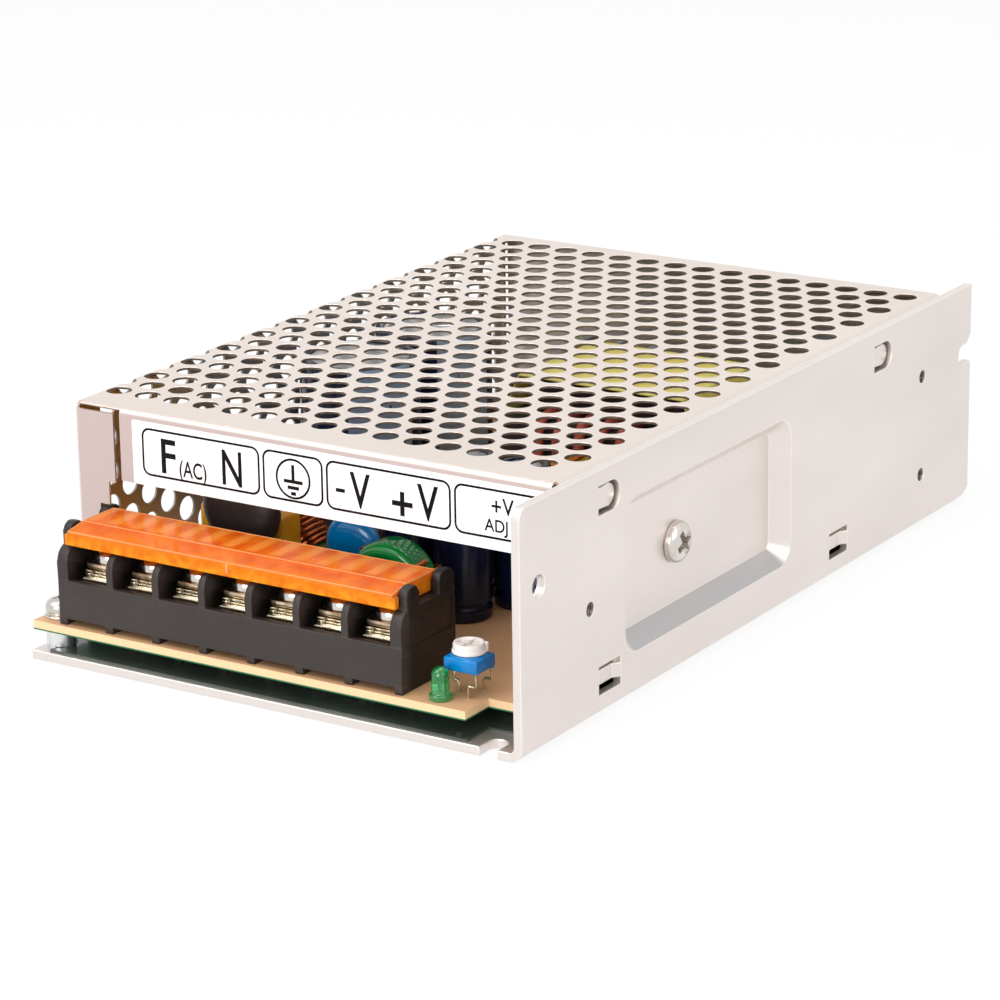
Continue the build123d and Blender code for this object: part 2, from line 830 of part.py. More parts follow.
# Hinged lid: a bent plate with a lip, two cheeks and a pin on each ear
with BuildPart() as terminal_cover:
    with BuildSketch(beside(lid_left)):
        with BuildLine():
            FilletPolyline(
                (lid_front, lid_bottom), (lid_front, lid_shoulder), (lid_slope_end, lid_top),
                (lid_back, lid_top),
                radius=lid_fold,
            )
            offset(amount=lid, side=Side.RIGHT)
        make_face()
    extrude(amount=lid_width)
    with BuildSketch(facing(lid_front)):
        with Locations((lid_left + lid_width / 2, lid_bottom)):
            Rectangle(
                lid_width + 2 * lid_lip_reach, lid_shoulder - lid_bottom - lid_fold,
                align=(Align.CENTER, Align.MIN),
            )
    extrude(amount=-lid)
    for outer, inward in ((lid_left, 1), (lid_left + lid_width, -1)):
        with BuildSketch(beside(outer)):
            with BuildLine():
                Polyline(
                    (lid_front + lid / 2, lid_bottom), (lid_front + lid / 2, lid_shoulder),
                    (lid_slope_end, lid_top - lid / 2), (lid_back, lid_top - lid / 2),
                    (lid_back, lid_bottom),
                    close=True,
                )
            make_face()
            with Locations((hinge_depth, hinge_height)):
                Circle(ear_radius)
        extrude(amount=inward * lid)
        with BuildSketch(beside(outer)):
            with Locations((hinge_depth, hinge_height)):
                Circle(hinge_pin_radius)
        extrude(amount=-inward * post)
save(terminal_cover, "terminal_cover")

# Trimmer: body on three bent pins, with a turning knob
trimmer_middle = (trimmer_left + trimmer_width / 2, trimmer_front + trimmer_depth / 2)
trimmer_bottom = board_top + trimmer_lift
trimmer_top = trimmer_bottom + trimmer_height
shaft_length = trimmer_height / 2
with BuildPart() as trimmer_body:
    with BuildSketch(level(trimmer_bottom)):
        with Locations(trimmer_middle):
            RectangleRounded(trimmer_width, trimmer_depth, knob_shaft_radius)
    extrude(amount=trimmer_height)
    with BuildSketch(level(trimmer_top)):
        with Locations(trimmer_middle):
            Circle(knob_shaft_radius + screw_gap)
    extrude(amount=-shaft_length - knob_gap, mode=Mode.SUBTRACT)
save(trimmer_body, "trimmer_body")

with BuildPart() as trimmer_knob:
    with BuildSketch(level(trimmer_top + knob_gap)):
        with Locations(trimmer_middle):
            Circle(knob_radius)
    extrude(amount=knob_height)
    with BuildSketch(level(trimmer_top + knob_gap + knob_height)):
        with Locations(trimmer_middle):
            Rectangle(knob_slot, knob_slot_length)
    extrude(amount=-knob_height / 2, mode=Mode.SUBTRACT)
    with BuildSketch(level(trimmer_top + knob_gap)):
        with Locations(trimmer_middle):
            Circle(knob_shaft_radius)
    extrude(amount=-shaft_length)
save(trimmer_knob, "trimmer_knob")

with BuildPart() as trimmer_pins:
    jog = trimmer_lift / 2
    for start, step in (
        ((trimmer_left + pin_inset, trimmer_front + pin_inset), (pin_jog, pin_jog)),
        ((trimmer_left + trimmer_width - pin_inset, trimmer_front + pin_inset), (-pin_jog, pin_jog)),
        ((trimmer_middle[0], trimmer_front + trimmer_depth - pin_inset), (0, -pin_jog)),
    ):
        with BuildLine(level(0)) as pin_path:
            Polyline(
                (start[0], start[1], trimmer_bottom),
                (start[0], start[1], trimmer_bottom - jog),
                (start[0] + step[0], start[1] + step[1], trimmer_bottom - jog - pin_jog / 2),
                (start[0] + step[0], start[1] + step[1], board_top),
            )
        with BuildSketch(level(trimmer_bottom)):
            with Locations(start):
                Rectangle(2 * pin_radius, 2 * pin_radius)
        sweep(path=pin_path.wires()[0], transition=Transition.RIGHT)
save(trimmer_pins, "trimmer_pins")

# Status lamp
with BuildPart() as status_led:
    with BuildSketch(facing(lamp_depth)):
        with BuildLine():
            shoulder = board_top + lamp_height - lamp_radius
            Polyline(
                (lamp_left, shoulder + lamp_radius), (lamp_left, board_top),
                (lamp_left + lamp_flange_radius, board_top),
                (lamp_left + lamp_flange_radius, board_top + lamp_flange),
                (lamp_left + lamp_radius, board_top + lamp_flange),
                (lamp_left + lamp_radius, shoulder),
            )
            RadiusArc(
                (lamp_left + lamp_radius, shoulder), (lamp_left, shoulder + lamp_radius), -lamp_radius
            )
        make_face()
    lamp_axis = Axis((lamp_left - case_width / 2, lamp_depth - case_length / 2, 0), (0, 0, 1))
    revolve(axis=lamp_axis)
save(status_led, "status_led")


def disc_on_leads(name, place, middle, radius, depth):
    """Disc that stands upright across the case on two leads."""
    with BuildPart() as piece:
        with BuildSketch(facing(place[1])):
            with Locations((place[0], middle)):
                Circle(radius)
        extrude(amount=depth / 2, both=True)
        chamfer(piece.edges().filter_by(GeomType.CIRCLE), length=disc_round)
        with BuildSketch(level(board_top)):
            with Locations([(place[0] + side * radius / 2, place[1]) for side in (-1, 1)]):
                Circle(lead_radius)
        extrude(amount=middle - board_top)
    save(piece, name)


def can(name, places, radius, height, crimp=crimp_depth):
    """Aluminium capacitor cans, the larger ones with a groove rolled in near the board."""
    with BuildPart() as piece:
        with BuildSketch(level(board_top)):
            with Locations(places):
                Circle(radius)
        extrude(amount=height)
        if crimp:
            with BuildSketch(level(board_top + crimp_height - crimp)):
                with Locations(places):
                    Circle(radius)
                    Circle(radius - crimp, mode=Mode.SUBTRACT)
            extrude(amount=2 * crimp, mode=Mode.SUBTRACT)
            chamfer(piece.edges().group_by(Axis.Z)[-1], length=crimp)
    save(piece, name)


def ring_frame(ring, turn):
    """Plane through a ring choke's axis, turned about it, x outwards and y along it."""
    start = (ring[0] - case_width / 2, ring[1] - case_length / 2, ring[2])
    outward = (cos(radians(turn)), 0, sin(radians(turn)))
    across = (-sin(radians(turn)), 0, cos(radians(turn)))
    return Plane(origin=start, x_dir=outward, z_dir=across)


def ring_core(name, ring):
    """Ring choke's core, its axis along the case."""
    with BuildPart() as piece:
        with BuildSketch(facing(ring[1])):
            with Locations((ring[0], ring[2])):
                Circle(ring[3])
                Circle(ring[4], mode=Mode.SUBTRACT)
        extrude(amount=ring[5] / 2, both=True)
    save(piece, name)


def ring_winding(name, ring, turn, arc):
    """Layer of wire over an arc of a ring choke's core, with its two leads."""
    grow = wire + wire_gap
    middle = (ring[3] + ring[4]) / 2
    wide = ring[3] - ring[4]
    with BuildPart() as piece:
        with BuildSketch(ring_frame(ring, turn)):
            with Locations((middle, 0)):
                Rectangle(wide + 2 * grow, ring[5] + 2 * grow)
                Rectangle(wide + 2 * wire_gap, ring[5] + 2 * wire_gap, mode=Mode.SUBTRACT)
        centre = (ring[0] - case_width / 2, ring[1] - case_length / 2, ring[2])
        revolve(axis=Axis(centre, (0, -1, 0)), revolution_arc=arc)
        low = ring[0] + (ring[3] / 2 if cos(radians(turn + arc / 2)) > 0 else -ring[3] / 2)
        ends = [(low, ring[1] + side * (ring[5] / 2 + wire_gap + wire / 2)) for side in (-1, 1)]
        with BuildSketch(level(board_top)):
            with Locations(ends):
                Circle(lead_radius)
        extrude(amount=ring[2] - board_top - ring[4])
    save(piece, name)


def dual_in_line(name, place, box, pins):
    """Chip with a row of legs along both sides."""
    with BuildPart() as piece:
        with BuildSketch(level(board_top + chip_lift)):
            with Locations(place):
                Rectangle(box[0], box[1])
        extrude(amount=box[2])
        with BuildSketch(level(board_top)):
            with Locations(place):
                with GridLocations(chip_pitch, box[1] + chip_leg, pins // 2, 2):
                    Rectangle(chip_leg, chip_leg)
        extrude(amount=chip_lift + box[2] / 2)
    save(piece, name)


def power_package(name, across, leg_place, face, turn):
    """Power package: body, metal tab behind it and three legs down to the board.

    It is drawn from the plane that its tab is pressed against, looking away from it.
    """
    with BuildPart() as piece:
        with BuildSketch(face):
            with Locations((across, package_bottom)):
                Rectangle(package_width, package_body, align=(Align.CENTER, Align.MIN))
        extrude(amount=package_depth)
        with BuildSketch(face):
            with Locations((across, package_bottom)):
                Rectangle(
                    package_width, package_body + package_tab, align=(Align.CENTER, Align.MIN)
                )
        extrude(amount=package_tab_metal)
        with BuildSketch(level(board_top)):
            with Locations(Location((leg_place[0], leg_place[1], 0), (0, 0, turn))):
                with GridLocations(package_leg_pitch, 1, 3, 1):
                    Rectangle(package_leg, package_leg / 2)
        extrude(amount=package_bottom - board_top)
    save(piece, name)


# Discs and cans
disc_on_leads("thermistor", thermistor_place, thermistor_height, thermistor_radius, thermistor_depth)
for number, place in enumerate(disc_places):
    disc_on_leads(f"disc_capacitor_{number + 1}", place, disc_height, disc_radius, disc_depth)
for number, place in enumerate(output_can_places):
    can(f"output_capacitor_{number + 1}", [place], output_can_radius, output_can_height)
for number, place in enumerate(bulk_can_places):
    can(f"bulk_capacitor_{number + 1}", [place], bulk_can_radius, bulk_can_height)
can("small_capacitors", small_can_places, small_can_radius, small_can_height, crimp=0)

# Ring chokes
ring_core("output_choke_core", output_choke)
ring_winding("output_choke_winding_left", output_choke, 120, 130)
ring_winding("output_choke_winding_right", output_choke, -70, 130)
ring_core("filter_choke_core", filter_choke)
ring_winding("filter_choke_winding_left", filter_choke, 105, 150)
ring_winding("filter_choke_winding_right", filter_choke, -75, 150)
ring_core("smoothing_choke_core", smoothing_choke)
ring_winding("smoothing_choke_winding", smoothing_choke, -70, 320)

# Box capacitor, fuse in its clips and bridge rectifier
with BuildPart() as film_capacitor:
    with BuildSketch(level(board_top + film_lift)):
        with Locations(film_place):
            Rectangle(film_box[0], film_box[1])
    extrude(amount=film_box[2])
    chamfer(film_capacitor.edges().filter_by(Axis.Z), length=film_round)
    chamfer(film_capacitor.edges().group_by(Axis.Z)[-1], length=film_round / 2)
    with BuildSketch(level(board_top)):
        with Locations(film_place):
            with GridLocations(film_box[0] - film_box[1], 1, 2, 1):
                Circle(lead_radius)
    extrude(amount=film_lift + film_box[2] / 2)
save(film_capacitor, "film_capacitor")

with BuildPart() as fuse:
    for start, length, radius in (
        (fuse_place[1] - fuse_length / 2, fuse_length, fuse_radius - screw_gap),
        (fuse_place[1] - fuse_length / 2, fuse_cap, fuse_radius),
        (fuse_place[1] + fuse_length / 2 - fuse_cap, fuse_cap, fuse_radius),
    ):
        with BuildSketch(facing(start)):
            with Locations((fuse_place[0], fuse_height)):
                Circle(radius)
        extrude(amount=-length)
save(fuse, "fuse")

with BuildPart() as fuse_clips:
    for side in (-1, 1):
        middle = fuse_place[1] + side * (fuse_length - fuse_cap) / 2
        with BuildSketch(facing(middle)):
            with Locations((fuse_place[0], board_top)):
                Rectangle(
                    2 * (fuse_radius + clip_wall), fuse_height - board_top + fuse_radius / 2,
                    align=(Align.CENTER, Align.MIN),
                )
            with Locations((fuse_place[0], fuse_height)):
                Circle(fuse_radius + screw_gap, mode=Mode.SUBTRACT)
                Rectangle(
                    2 * fuse_radius - clip_wall, 2 * fuse_radius,
                    align=(Align.CENTER, Align.MIN), mode=Mode.SUBTRACT,
                )
        extrude(amount=clip_width / 2, both=True)
save(fuse_clips, "fuse_clips")

with BuildPart() as bridge_rectifier:
    with BuildSketch(facing(bridge_place[1])) as bridge_face:
        with Locations((bridge_place[0], board_top + bridge_lift)):
            Rectangle(bridge_box[0], bridge_box[2], align=(Align.CENTER, Align.MIN))
        chamfer(bridge_face.vertices().group_by(Axis.Z)[-1].sort_by(Axis.X)[0], bridge_corner)
    extrude(amount=bridge_box[1] / 2, both=True)
    with BuildSketch(level(board_top)):
        with Locations(bridge_place):
            with GridLocations(bridge_box[0] / 4, 1, 4, 1):
                Circle(lead_radius)
    extrude(amount=bridge_lift)
save(bridge_rectifier, "bridge_rectifier")

# Transformer: two E shaped core halves round a bobbin with its winding
core_axis = core_left + core_width / 2
core_back = core_front + core_depth
window = core_width / 2 - core_leg - core_centre_leg / 2
bobbin_start = core_front + core_leg + bobbin_gap
bobbin_end = core_back - core_leg - bobbin_gap
tube_width = core_centre_leg + 2 * bobbin_gap + 2 * tube_wall
tube_height = core_height + 2 * bobbin_gap + 2 * tube_wall
flange_width = core_width - 2 * core_leg - 2 * bobbin_gap
for name, start, sense in (
    ("transformer_core_front", core_front, 1),
    ("transformer_core_rear", core_back, -1),
):
    with BuildPart() as core_half:
        with BuildSketch(level(core_middle)):
            with Locations((core_axis, start + sense * core_depth / 4)):
                Rectangle(core_width, core_depth / 2)
            for side in (-1, 1):
                with Locations((
                    core_axis + side * (core_centre_leg + window) / 2,
                    start + sense * (core_leg + core_depth) / 2,
                )):
                    Rectangle(window, core_depth - core_leg, mode=Mode.SUBTRACT)
        extrude(amount=core_height / 2, both=True)
    save(core_half, name)

with BuildPart() as transformer_bobbin:
    with BuildSketch(facing(bobbin_start)):
        with Locations((core_axis, core_middle)):
            Rectangle(tube_width, tube_height)
    extrude(amount=bobbin_start - bobbin_end)
    for start, sense in ((bobbin_start, -1), (bobbin_end, 1)):
        with BuildSketch(facing(start)):
            with Locations((core_axis, board_top)):
                Rectangle(
                    flange_width, core_middle - board_top + winding_height / 2,
                    align=(Align.CENTER, Align.MIN),
                )
        extrude(amount=sense * bobbin_wall)
    with BuildSketch(facing(core_front)):
        with Locations((core_axis, core_middle)):
            Rectangle(core_centre_leg + 2 * bobbin_gap, core_height + 2 * bobbin_gap)
    extrude(amount=-core_depth, mode=Mode.SUBTRACT)
save(transformer_bobbin, "transformer_bobbin")

with BuildPart() as transformer_winding:
    with BuildSketch(facing(bobbin_start + bobbin_wall)):
        with Locations((core_axis, core_middle)):
            RectangleRounded(flange_width - 2 * bobbin_gap, winding_height, core_leg)
            Rectangle(tube_width, tube_height, mode=Mode.SUBTRACT)
    extrude(amount=bobbin_start - bobbin_end + 2 * bobbin_wall)
save(transformer_winding, "transformer_winding")

# Power packages with their pads, bar and screw
package_places = [clamp_screw_depth + side * package_spread for side in (-1, 1)]
for name, depth in zip(("power_transistor", "output_rectifier"), package_places):
    leg_place = (package_face - package_depth / 2, depth)
    power_package(name, -depth, leg_place, looking_left(package_face), 90)

with BuildPart() as insulating_pads:
    with BuildSketch(beside(recess_back)):
        with Locations([(depth, package_bottom - pad_margin) for depth in package_places]):
            Rectangle(
                package_width + 2 * pad_margin, package_body + package_tab + 2 * pad_margin,
                align=(Align.CENTER, Align.MIN),
            )
    extrude(amount=-pad)
save(insulating_pads, "insulating_pads")

with BuildPart() as clamp_bar:
    with BuildSketch(beside(bar_face)):
        with Locations((clamp_screw_depth, clamp_screw_height)):
            SlotOverall(bar_length, bar_height)
            Circle(terminal_screw_radius + screw_gap, mode=Mode.SUBTRACT)
    extrude(amount=-bar_metal)
save(clamp_bar, "clamp_bar")

with BuildPart() as clamp_screw:
    with BuildSketch(beside(case_width - recess_depth)):
        with Locations((clamp_screw_depth, clamp_screw_height)):
            Circle(clamp_head_radius)
    extrude(amount=clamp_head_height)
    fillet(clamp_screw.edges().group_by(Axis.X)[-1], radius=clamp_head_height / 2)
    with BuildSketch(beside(case_width - recess_depth)):
        with Locations((clamp_screw_depth, clamp_screw_height)):
            Circle(terminal_screw_radius)
    extrude(amount=-clamp_screw_length)
save(clamp_screw, "clamp_screw")

# Small heatsink with its transistor, chips and resistor at the rear of the board
with BuildPart() as board_heatsink:
    with BuildSketch(level(board_top)):
        with Locations(heatsink_place):
            Rectangle(heatsink_width, heatsink_metal, align=(Align.CENTER, Align.MIN))
            with Locations((0, heatsink_metal + fin_depth / 2)):
                with GridLocations((heatsink_width - fin) / (fin_count - 1), 1, fin_count, 1):
                    Rectangle(fin, fin_depth)
    extrude(amount=heatsink_height)
save(board_heatsink, "board_heatsink")
power_package(
    "auxiliary_transistor", heatsink_place[0],
    (heatsink_place[0], heatsink_place[1] - package_depth / 2), facing(heatsink_place[1]), 0,
)
dual_in_line("control_chip", chip_place, chip_box, 8)
dual_in_line("optocoupler", optocoupler_place, optocoupler_box, 4)
with BuildPart() as ceramic_resistor:
    with BuildSketch(level(board_top)):
        with Locations(resistor_place):
            Rectangle(resistor_box[0], resistor_box[1])
    extrude(amount=resistor_box[2])
save(ceramic_resistor, "ceramic_resistor")

# Flush screws through the cover's left wall into the tabs
with BuildPart() as cover_screws:
    for place in tab_places:
        with BuildSketch(level(cover_screw_height)):
            with BuildLine():
                screw_end = tab_left + plate + screw_reach
                Polyline(
                    (0, place), (0, place + cover_head_radius),
                    (cover_head_radius - cover_screw_radius, place + cover_screw_radius),
                    (screw_end, place + cover_screw_radius), (screw_end, place),
                    close=True,
                )
            make_face()
        start = (-case_width / 2, place - case_length / 2, cover_screw_height)
        revolve(axis=Axis(start, (1, 0, 0)))
save(cover_screws, "cover_screws")
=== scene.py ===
"""Dresses the mesh case power supply: folded perforated cover, pressed chassis,
terminal block under its clear lid, board and the parts that stand on it."""

from math import atan2, cos, pi, radians, sin, sqrt, tau

import bmesh
import bpy
from bpy.props import FloatProperty, FloatVectorProperty, IntProperty, PointerProperty
from mathutils import Matrix, Vector


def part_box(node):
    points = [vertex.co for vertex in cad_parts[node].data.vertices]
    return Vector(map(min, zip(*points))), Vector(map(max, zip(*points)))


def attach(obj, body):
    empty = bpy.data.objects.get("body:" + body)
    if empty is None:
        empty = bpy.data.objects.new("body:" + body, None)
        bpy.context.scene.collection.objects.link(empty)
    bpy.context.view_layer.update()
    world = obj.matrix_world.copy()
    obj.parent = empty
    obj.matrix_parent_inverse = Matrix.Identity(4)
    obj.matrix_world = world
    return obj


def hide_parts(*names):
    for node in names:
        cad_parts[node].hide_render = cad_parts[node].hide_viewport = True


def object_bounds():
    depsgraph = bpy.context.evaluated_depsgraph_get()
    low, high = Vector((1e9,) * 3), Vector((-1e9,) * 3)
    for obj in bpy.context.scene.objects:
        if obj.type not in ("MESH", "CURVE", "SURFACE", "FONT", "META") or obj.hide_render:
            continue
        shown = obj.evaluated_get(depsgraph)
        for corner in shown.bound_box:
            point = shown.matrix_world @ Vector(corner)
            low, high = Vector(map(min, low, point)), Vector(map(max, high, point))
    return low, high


bl_info = {
    "name": "Mesh Case Power Supply",
    "version": (1, 0, 0),
    "blender": (4, 5, 0),
    "location": "View3D > Sidebar > Supply",
    "description": "Dresses a mesh case switching power supply with its cover, terminals and board parts",
    "category": "Object",
}

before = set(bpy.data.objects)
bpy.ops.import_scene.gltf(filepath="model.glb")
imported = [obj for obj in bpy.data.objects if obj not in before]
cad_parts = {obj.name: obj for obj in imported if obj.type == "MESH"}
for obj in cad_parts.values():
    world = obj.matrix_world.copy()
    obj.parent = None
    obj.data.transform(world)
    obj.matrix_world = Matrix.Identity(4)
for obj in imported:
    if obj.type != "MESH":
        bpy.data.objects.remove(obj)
CAD_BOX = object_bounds()
CASE_LOW = Vector(CAD_BOX[0])
CASE_HIGH = Vector(CAD_BOX[1])
MM = 0.001


def spot(left, depth, height):
    """Place in metres from millimetres off the case's left face, front edge and foot."""
    return Vector((CASE_LOW.x + left * MM, CASE_LOW.y + depth * MM, CASE_LOW.z + height * MM))


def span(node):
    """A solid's box in the case's millimetres: lowest and highest corner."""
    low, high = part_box(node)
    return (low - CASE_LOW) / MM, (high - CASE_LOW) / MM


def paint(red, green, blue):
    """Colour of a surface from its 0 to 255 screen values."""
    return tuple(
        (v / 255 / 12.92) if v <= 10 else ((v / 255 + 0.055) / 1.055) ** 2.4 for v in (red, green, blue)
    )


class SupplyFinish(bpy.types.PropertyGroup):
    """Colours of the main surfaces."""

    aluminium: FloatVectorProperty(
        name="Chassis", description="Satin aluminium of the chassis", subtype="COLOR",
        default=paint(230, 221, 216), min=0, max=1)
    steel: FloatVectorProperty(
        name="Cover", description="Plated steel of the mesh cover", subtype="COLOR",
        default=paint(230, 218, 209), min=0, max=1)
    lid: FloatVectorProperty(
        name="Lid", description="Clear tinted lid over the terminals", subtype="COLOR",
        default=paint(255, 132, 28), min=0, max=1)
    block: FloatVectorProperty(
        name="Terminal block", description="Moulded block under the lid", subtype="COLOR",
        default=paint(50, 41, 38), min=0, max=1)
    board: FloatVectorProperty(
        name="Board", description="Top of the circuit board", subtype="COLOR",
        default=paint(222, 174, 130), min=0, max=1)
    sleeve: FloatVectorProperty(
        name="Capacitor sleeve", description="Shrunk film round the capacitor cans", subtype="COLOR",
        default=paint(18, 30, 62), min=0, max=1)


class SupplySizes(bpy.types.PropertyGroup):
    """Sizes of the detail that is added to the solids, in millimetres."""

    hole_points: IntProperty(
        name="Hole points", description="Points round each hole of the cover", default=24, min=12, max=36)
    rim_bevel: FloatProperty(
        name="Hole rim", description="Rounding of a punched hole's rim, mm", default=0.06, min=0.02, max=0.3)
    line_weight: FloatProperty(
        name="Line weight", description="Weight of the label's frames, mm", default=0.4, min=0.1, max=0.6)
    wire_gauge: FloatProperty(
        name="Wire", description="Diameter of the wire wound round the ring cores, mm",
        default=0.86, min=0.4, max=0.9)


class SupplyStage(bpy.types.PropertyGroup):
    """Camera, floor and light."""

    azimuth: FloatProperty(
        name="Azimuth", description="Turn of the camera round the case", subtype="ANGLE",
        default=radians(-32.605))
    elevation: FloatProperty(
        name="Elevation", description="Height of the camera's view", subtype="ANGLE",
        default=radians(17.624))
    roll: FloatProperty(
        name="Roll", description="Roll of the camera", subtype="ANGLE", default=radians(-0.8444))
    lens: FloatProperty(
        name="Lens", description="Focal length of the camera, mm", default=140.07, min=20)
    sky: FloatProperty(
        name="Sky", description="Strength of the even light from all round", default=0.62, min=0)
    key: FloatProperty(name="Key light", description="Power of the key light", subtype="POWER", default=4.0)
    fill: FloatProperty(
        name="Fill light", description="Power of the fill light", subtype="POWER", default=1.6)
    front: FloatProperty(
        name="Front light", description="Power of the low front light", subtype="POWER", default=4.0)
    top: FloatProperty(
        name="Top light", description="Power of the light over the cover", subtype="POWER", default=1.1)
    paper: FloatProperty(
        name="Paper", description="Share of plain white that the floor shows", default=0.84, min=0, max=1)


# Node groups that several finishes share


def set_inputs(tree, node, inputs):
    """Set a node's inputs to values, or link them from sockets."""
    for name, value in inputs.items():
        if isinstance(value, bpy.types.NodeSocket):
            tree.links.new(value, node.inputs[name])
        else:
            node.inputs[name].default_value = value
    return node


def add_node(tree, kind, inputs=None, operation=None):
    """New node in a tree, with its operation and its inputs."""
    node = tree.nodes.new(kind)
    if operation:
        node.operation = operation
    return set_inputs(tree, node, inputs or {})


def new_group(name, inputs, **outputs):
    """Empty node group with inputs at their defaults and outputs of given kinds."""
    group = bpy.data.node_groups.new(name, "ShaderNodeTree")
    for label, value in inputs.items():
        kind = "NodeSocketVector" if isinstance(value, tuple) else "NodeSocketFloat"
        group.interface.new_socket(name=label, in_out="INPUT", socket_type=kind).default_value = value
    for label, kind in outputs.items():
        group.interface.new_socket(name=label, in_out="OUTPUT", socket_type=kind)
    return group, group.nodes.new("NodeGroupInput").outputs


def grain_group():
    """Noise that gives a slow tone over the surface and a fine grain for its height."""
    group, ports = new_group("grain", {"Scale": 60.0, "Stretch": (1.0, 1.0, 1.0), "Fine": 12.0},
                             Tone="NodeSocketFloat", Height="NodeSocketFloat")
    place = add_node(group, "ShaderNodeTexCoord").outputs["Object"]
    stretched = add_node(group, "ShaderNodeMapping", {"Vector": place, "Scale": ports["Stretch"]})
    place = stretched.outputs["Vector"]
    slow = add_node(group, "ShaderNodeTexNoise", {"Vector": place, "Scale": ports["Scale"], "Detail": 3.0})
    spread = add_node(group, "ShaderNodeMapRange",
                      {"Value": slow.outputs["Fac"], "From Min": 0.32, "From Max": 0.68})
    times = add_node(group, "ShaderNodeMath", {0: ports["Scale"], 1: ports["Fine"]}, "MULTIPLY")
    fine = add_node(group, "ShaderNodeTexNoise",
                    {"Vector": place, "Scale": times.outputs["Value"], "Detail": 2.0})
    add_node(group, "NodeGroupOutput", {"Tone": spread.outputs["Result"], "Height": fine.outputs["Fac"]})
    return group


def edge_group():
    """Softened normal at a piece's edges, and a mask that is 1 on them."""
    group, ports = new_group("soft_edge", {"Radius": 0.0003},
                             Normal="NodeSocketVector", Edge="NodeSocketFloat")
    soft = add_node(group, "ShaderNodeBevel", {"Radius": ports["Radius"]})
    soft.samples = 4
    soft = soft.outputs["Normal"]
    true_normal = add_node(group, "ShaderNodeNewGeometry").outputs["Normal"]
    agree = add_node(group, "ShaderNodeVectorMath", {0: soft, 1: true_normal}, "DOT_PRODUCT")
    spread = add_node(group, "ShaderNodeMapRange",
                      {"Value": agree.outputs["Value"], "From Min": 1.0, "From Max": 0.88})
    add_node(group, "NodeGroupOutput", {"Normal": soft, "Edge": spread.outputs["Result"]})
    return group


def rise_group():
    """Mask of how far a point is between two distances along a direction."""
    group, ports = new_group("rise", {"Low": 0.0, "High": 0.01, "Direction": (0.0, 0.0, 1.0)},
                             Rise="NodeSocketFloat")
    place = add_node(group, "ShaderNodeTexCoord").outputs["Object"]
    reach = add_node(group, "ShaderNodeVectorMath", {0: place, 1: ports["Direction"]}, "DOT_PRODUCT")
    spread = add_node(group, "ShaderNodeMapRange", {
        "Value": reach.outputs["Value"], "From Min": ports["Low"], "From Max": ports["High"]})
    add_node(group, "NodeGroupOutput", {"Rise": spread.outputs["Result"]})
    return group


def bands_group():
    """Soft bands of even spacing across the case."""
    group, ports = new_group("bands", {"Pitch": 0.01, "Start": 0.0}, Band="NodeSocketFloat")
    place = add_node(group, "ShaderNodeTexCoord").outputs["Object"]
    value = add_node(group, "ShaderNodeSeparateXYZ", {"Vector": place}).outputs["X"]
    for operation, other in (("SUBTRACT", ports["Start"]), ("DIVIDE", ports["Pitch"]), ("MULTIPLY", tau)):
        value = add_node(group, "ShaderNodeMath", {0: value, 1: other}, operation).outputs["Value"]
    wave = add_node(group, "ShaderNodeMath", {0: value}, "SINE").outputs["Value"]
    spread = add_node(group, "ShaderNodeMapRange", {"Value": wave, "From Min": -0.5, "From Max": 0.7})
    add_node(group, "NodeGroupOutput", {"Band": spread.outputs["Result"]})
    return group


GROUPS = {"grain": grain_group, "soft_edge": edge_group, "rise": rise_group, "bands": bands_group}


def placed_group(tree, name, **inputs):
    """The named node group, built once, placed in a material."""
    node = tree.nodes.new("ShaderNodeGroup")
    node.node_tree = bpy.data.node_groups.get(name) or GROUPS[name]()
    return set_inputs(tree, node, inputs)


def mixed(tree, factor, first, second):
    """Colour mix of two plain colours or sockets by a factor's socket."""
    mix = tree.nodes.new("ShaderNodeMix")
    mix.data_type = "RGBA"
    tree.links.new(factor, mix.inputs["Factor"])
    for name, value in (("A", first), ("B", second)):
        socket = next(s for s in mix.inputs if s.name == name and s.type == "RGBA")
        if isinstance(value, bpy.types.NodeSocket):
            tree.links.new(value, socket)
        else:
            socket.default_value = (*value, 1.0)
    return next(s for s in mix.outputs if s.type == "RGBA")


def product(tree, first, second):
    """Socket with the product of two sockets or of a socket and a number."""
    return add_node(tree, "ShaderNodeMath", {0: first, 1: second}, "MULTIPLY").outputs["Value"]


def base_colour(material):
    """A finish's shader, and the socket that feeds its base colour."""
    body = material.node_tree.nodes["Principled BSDF"]
    return body, body.inputs["Base Color"].links[0].from_socket


def shade(colour, times):
    """The same colour, lighter or darker."""
    return tuple(min(1.0, v * times) for v in colour)


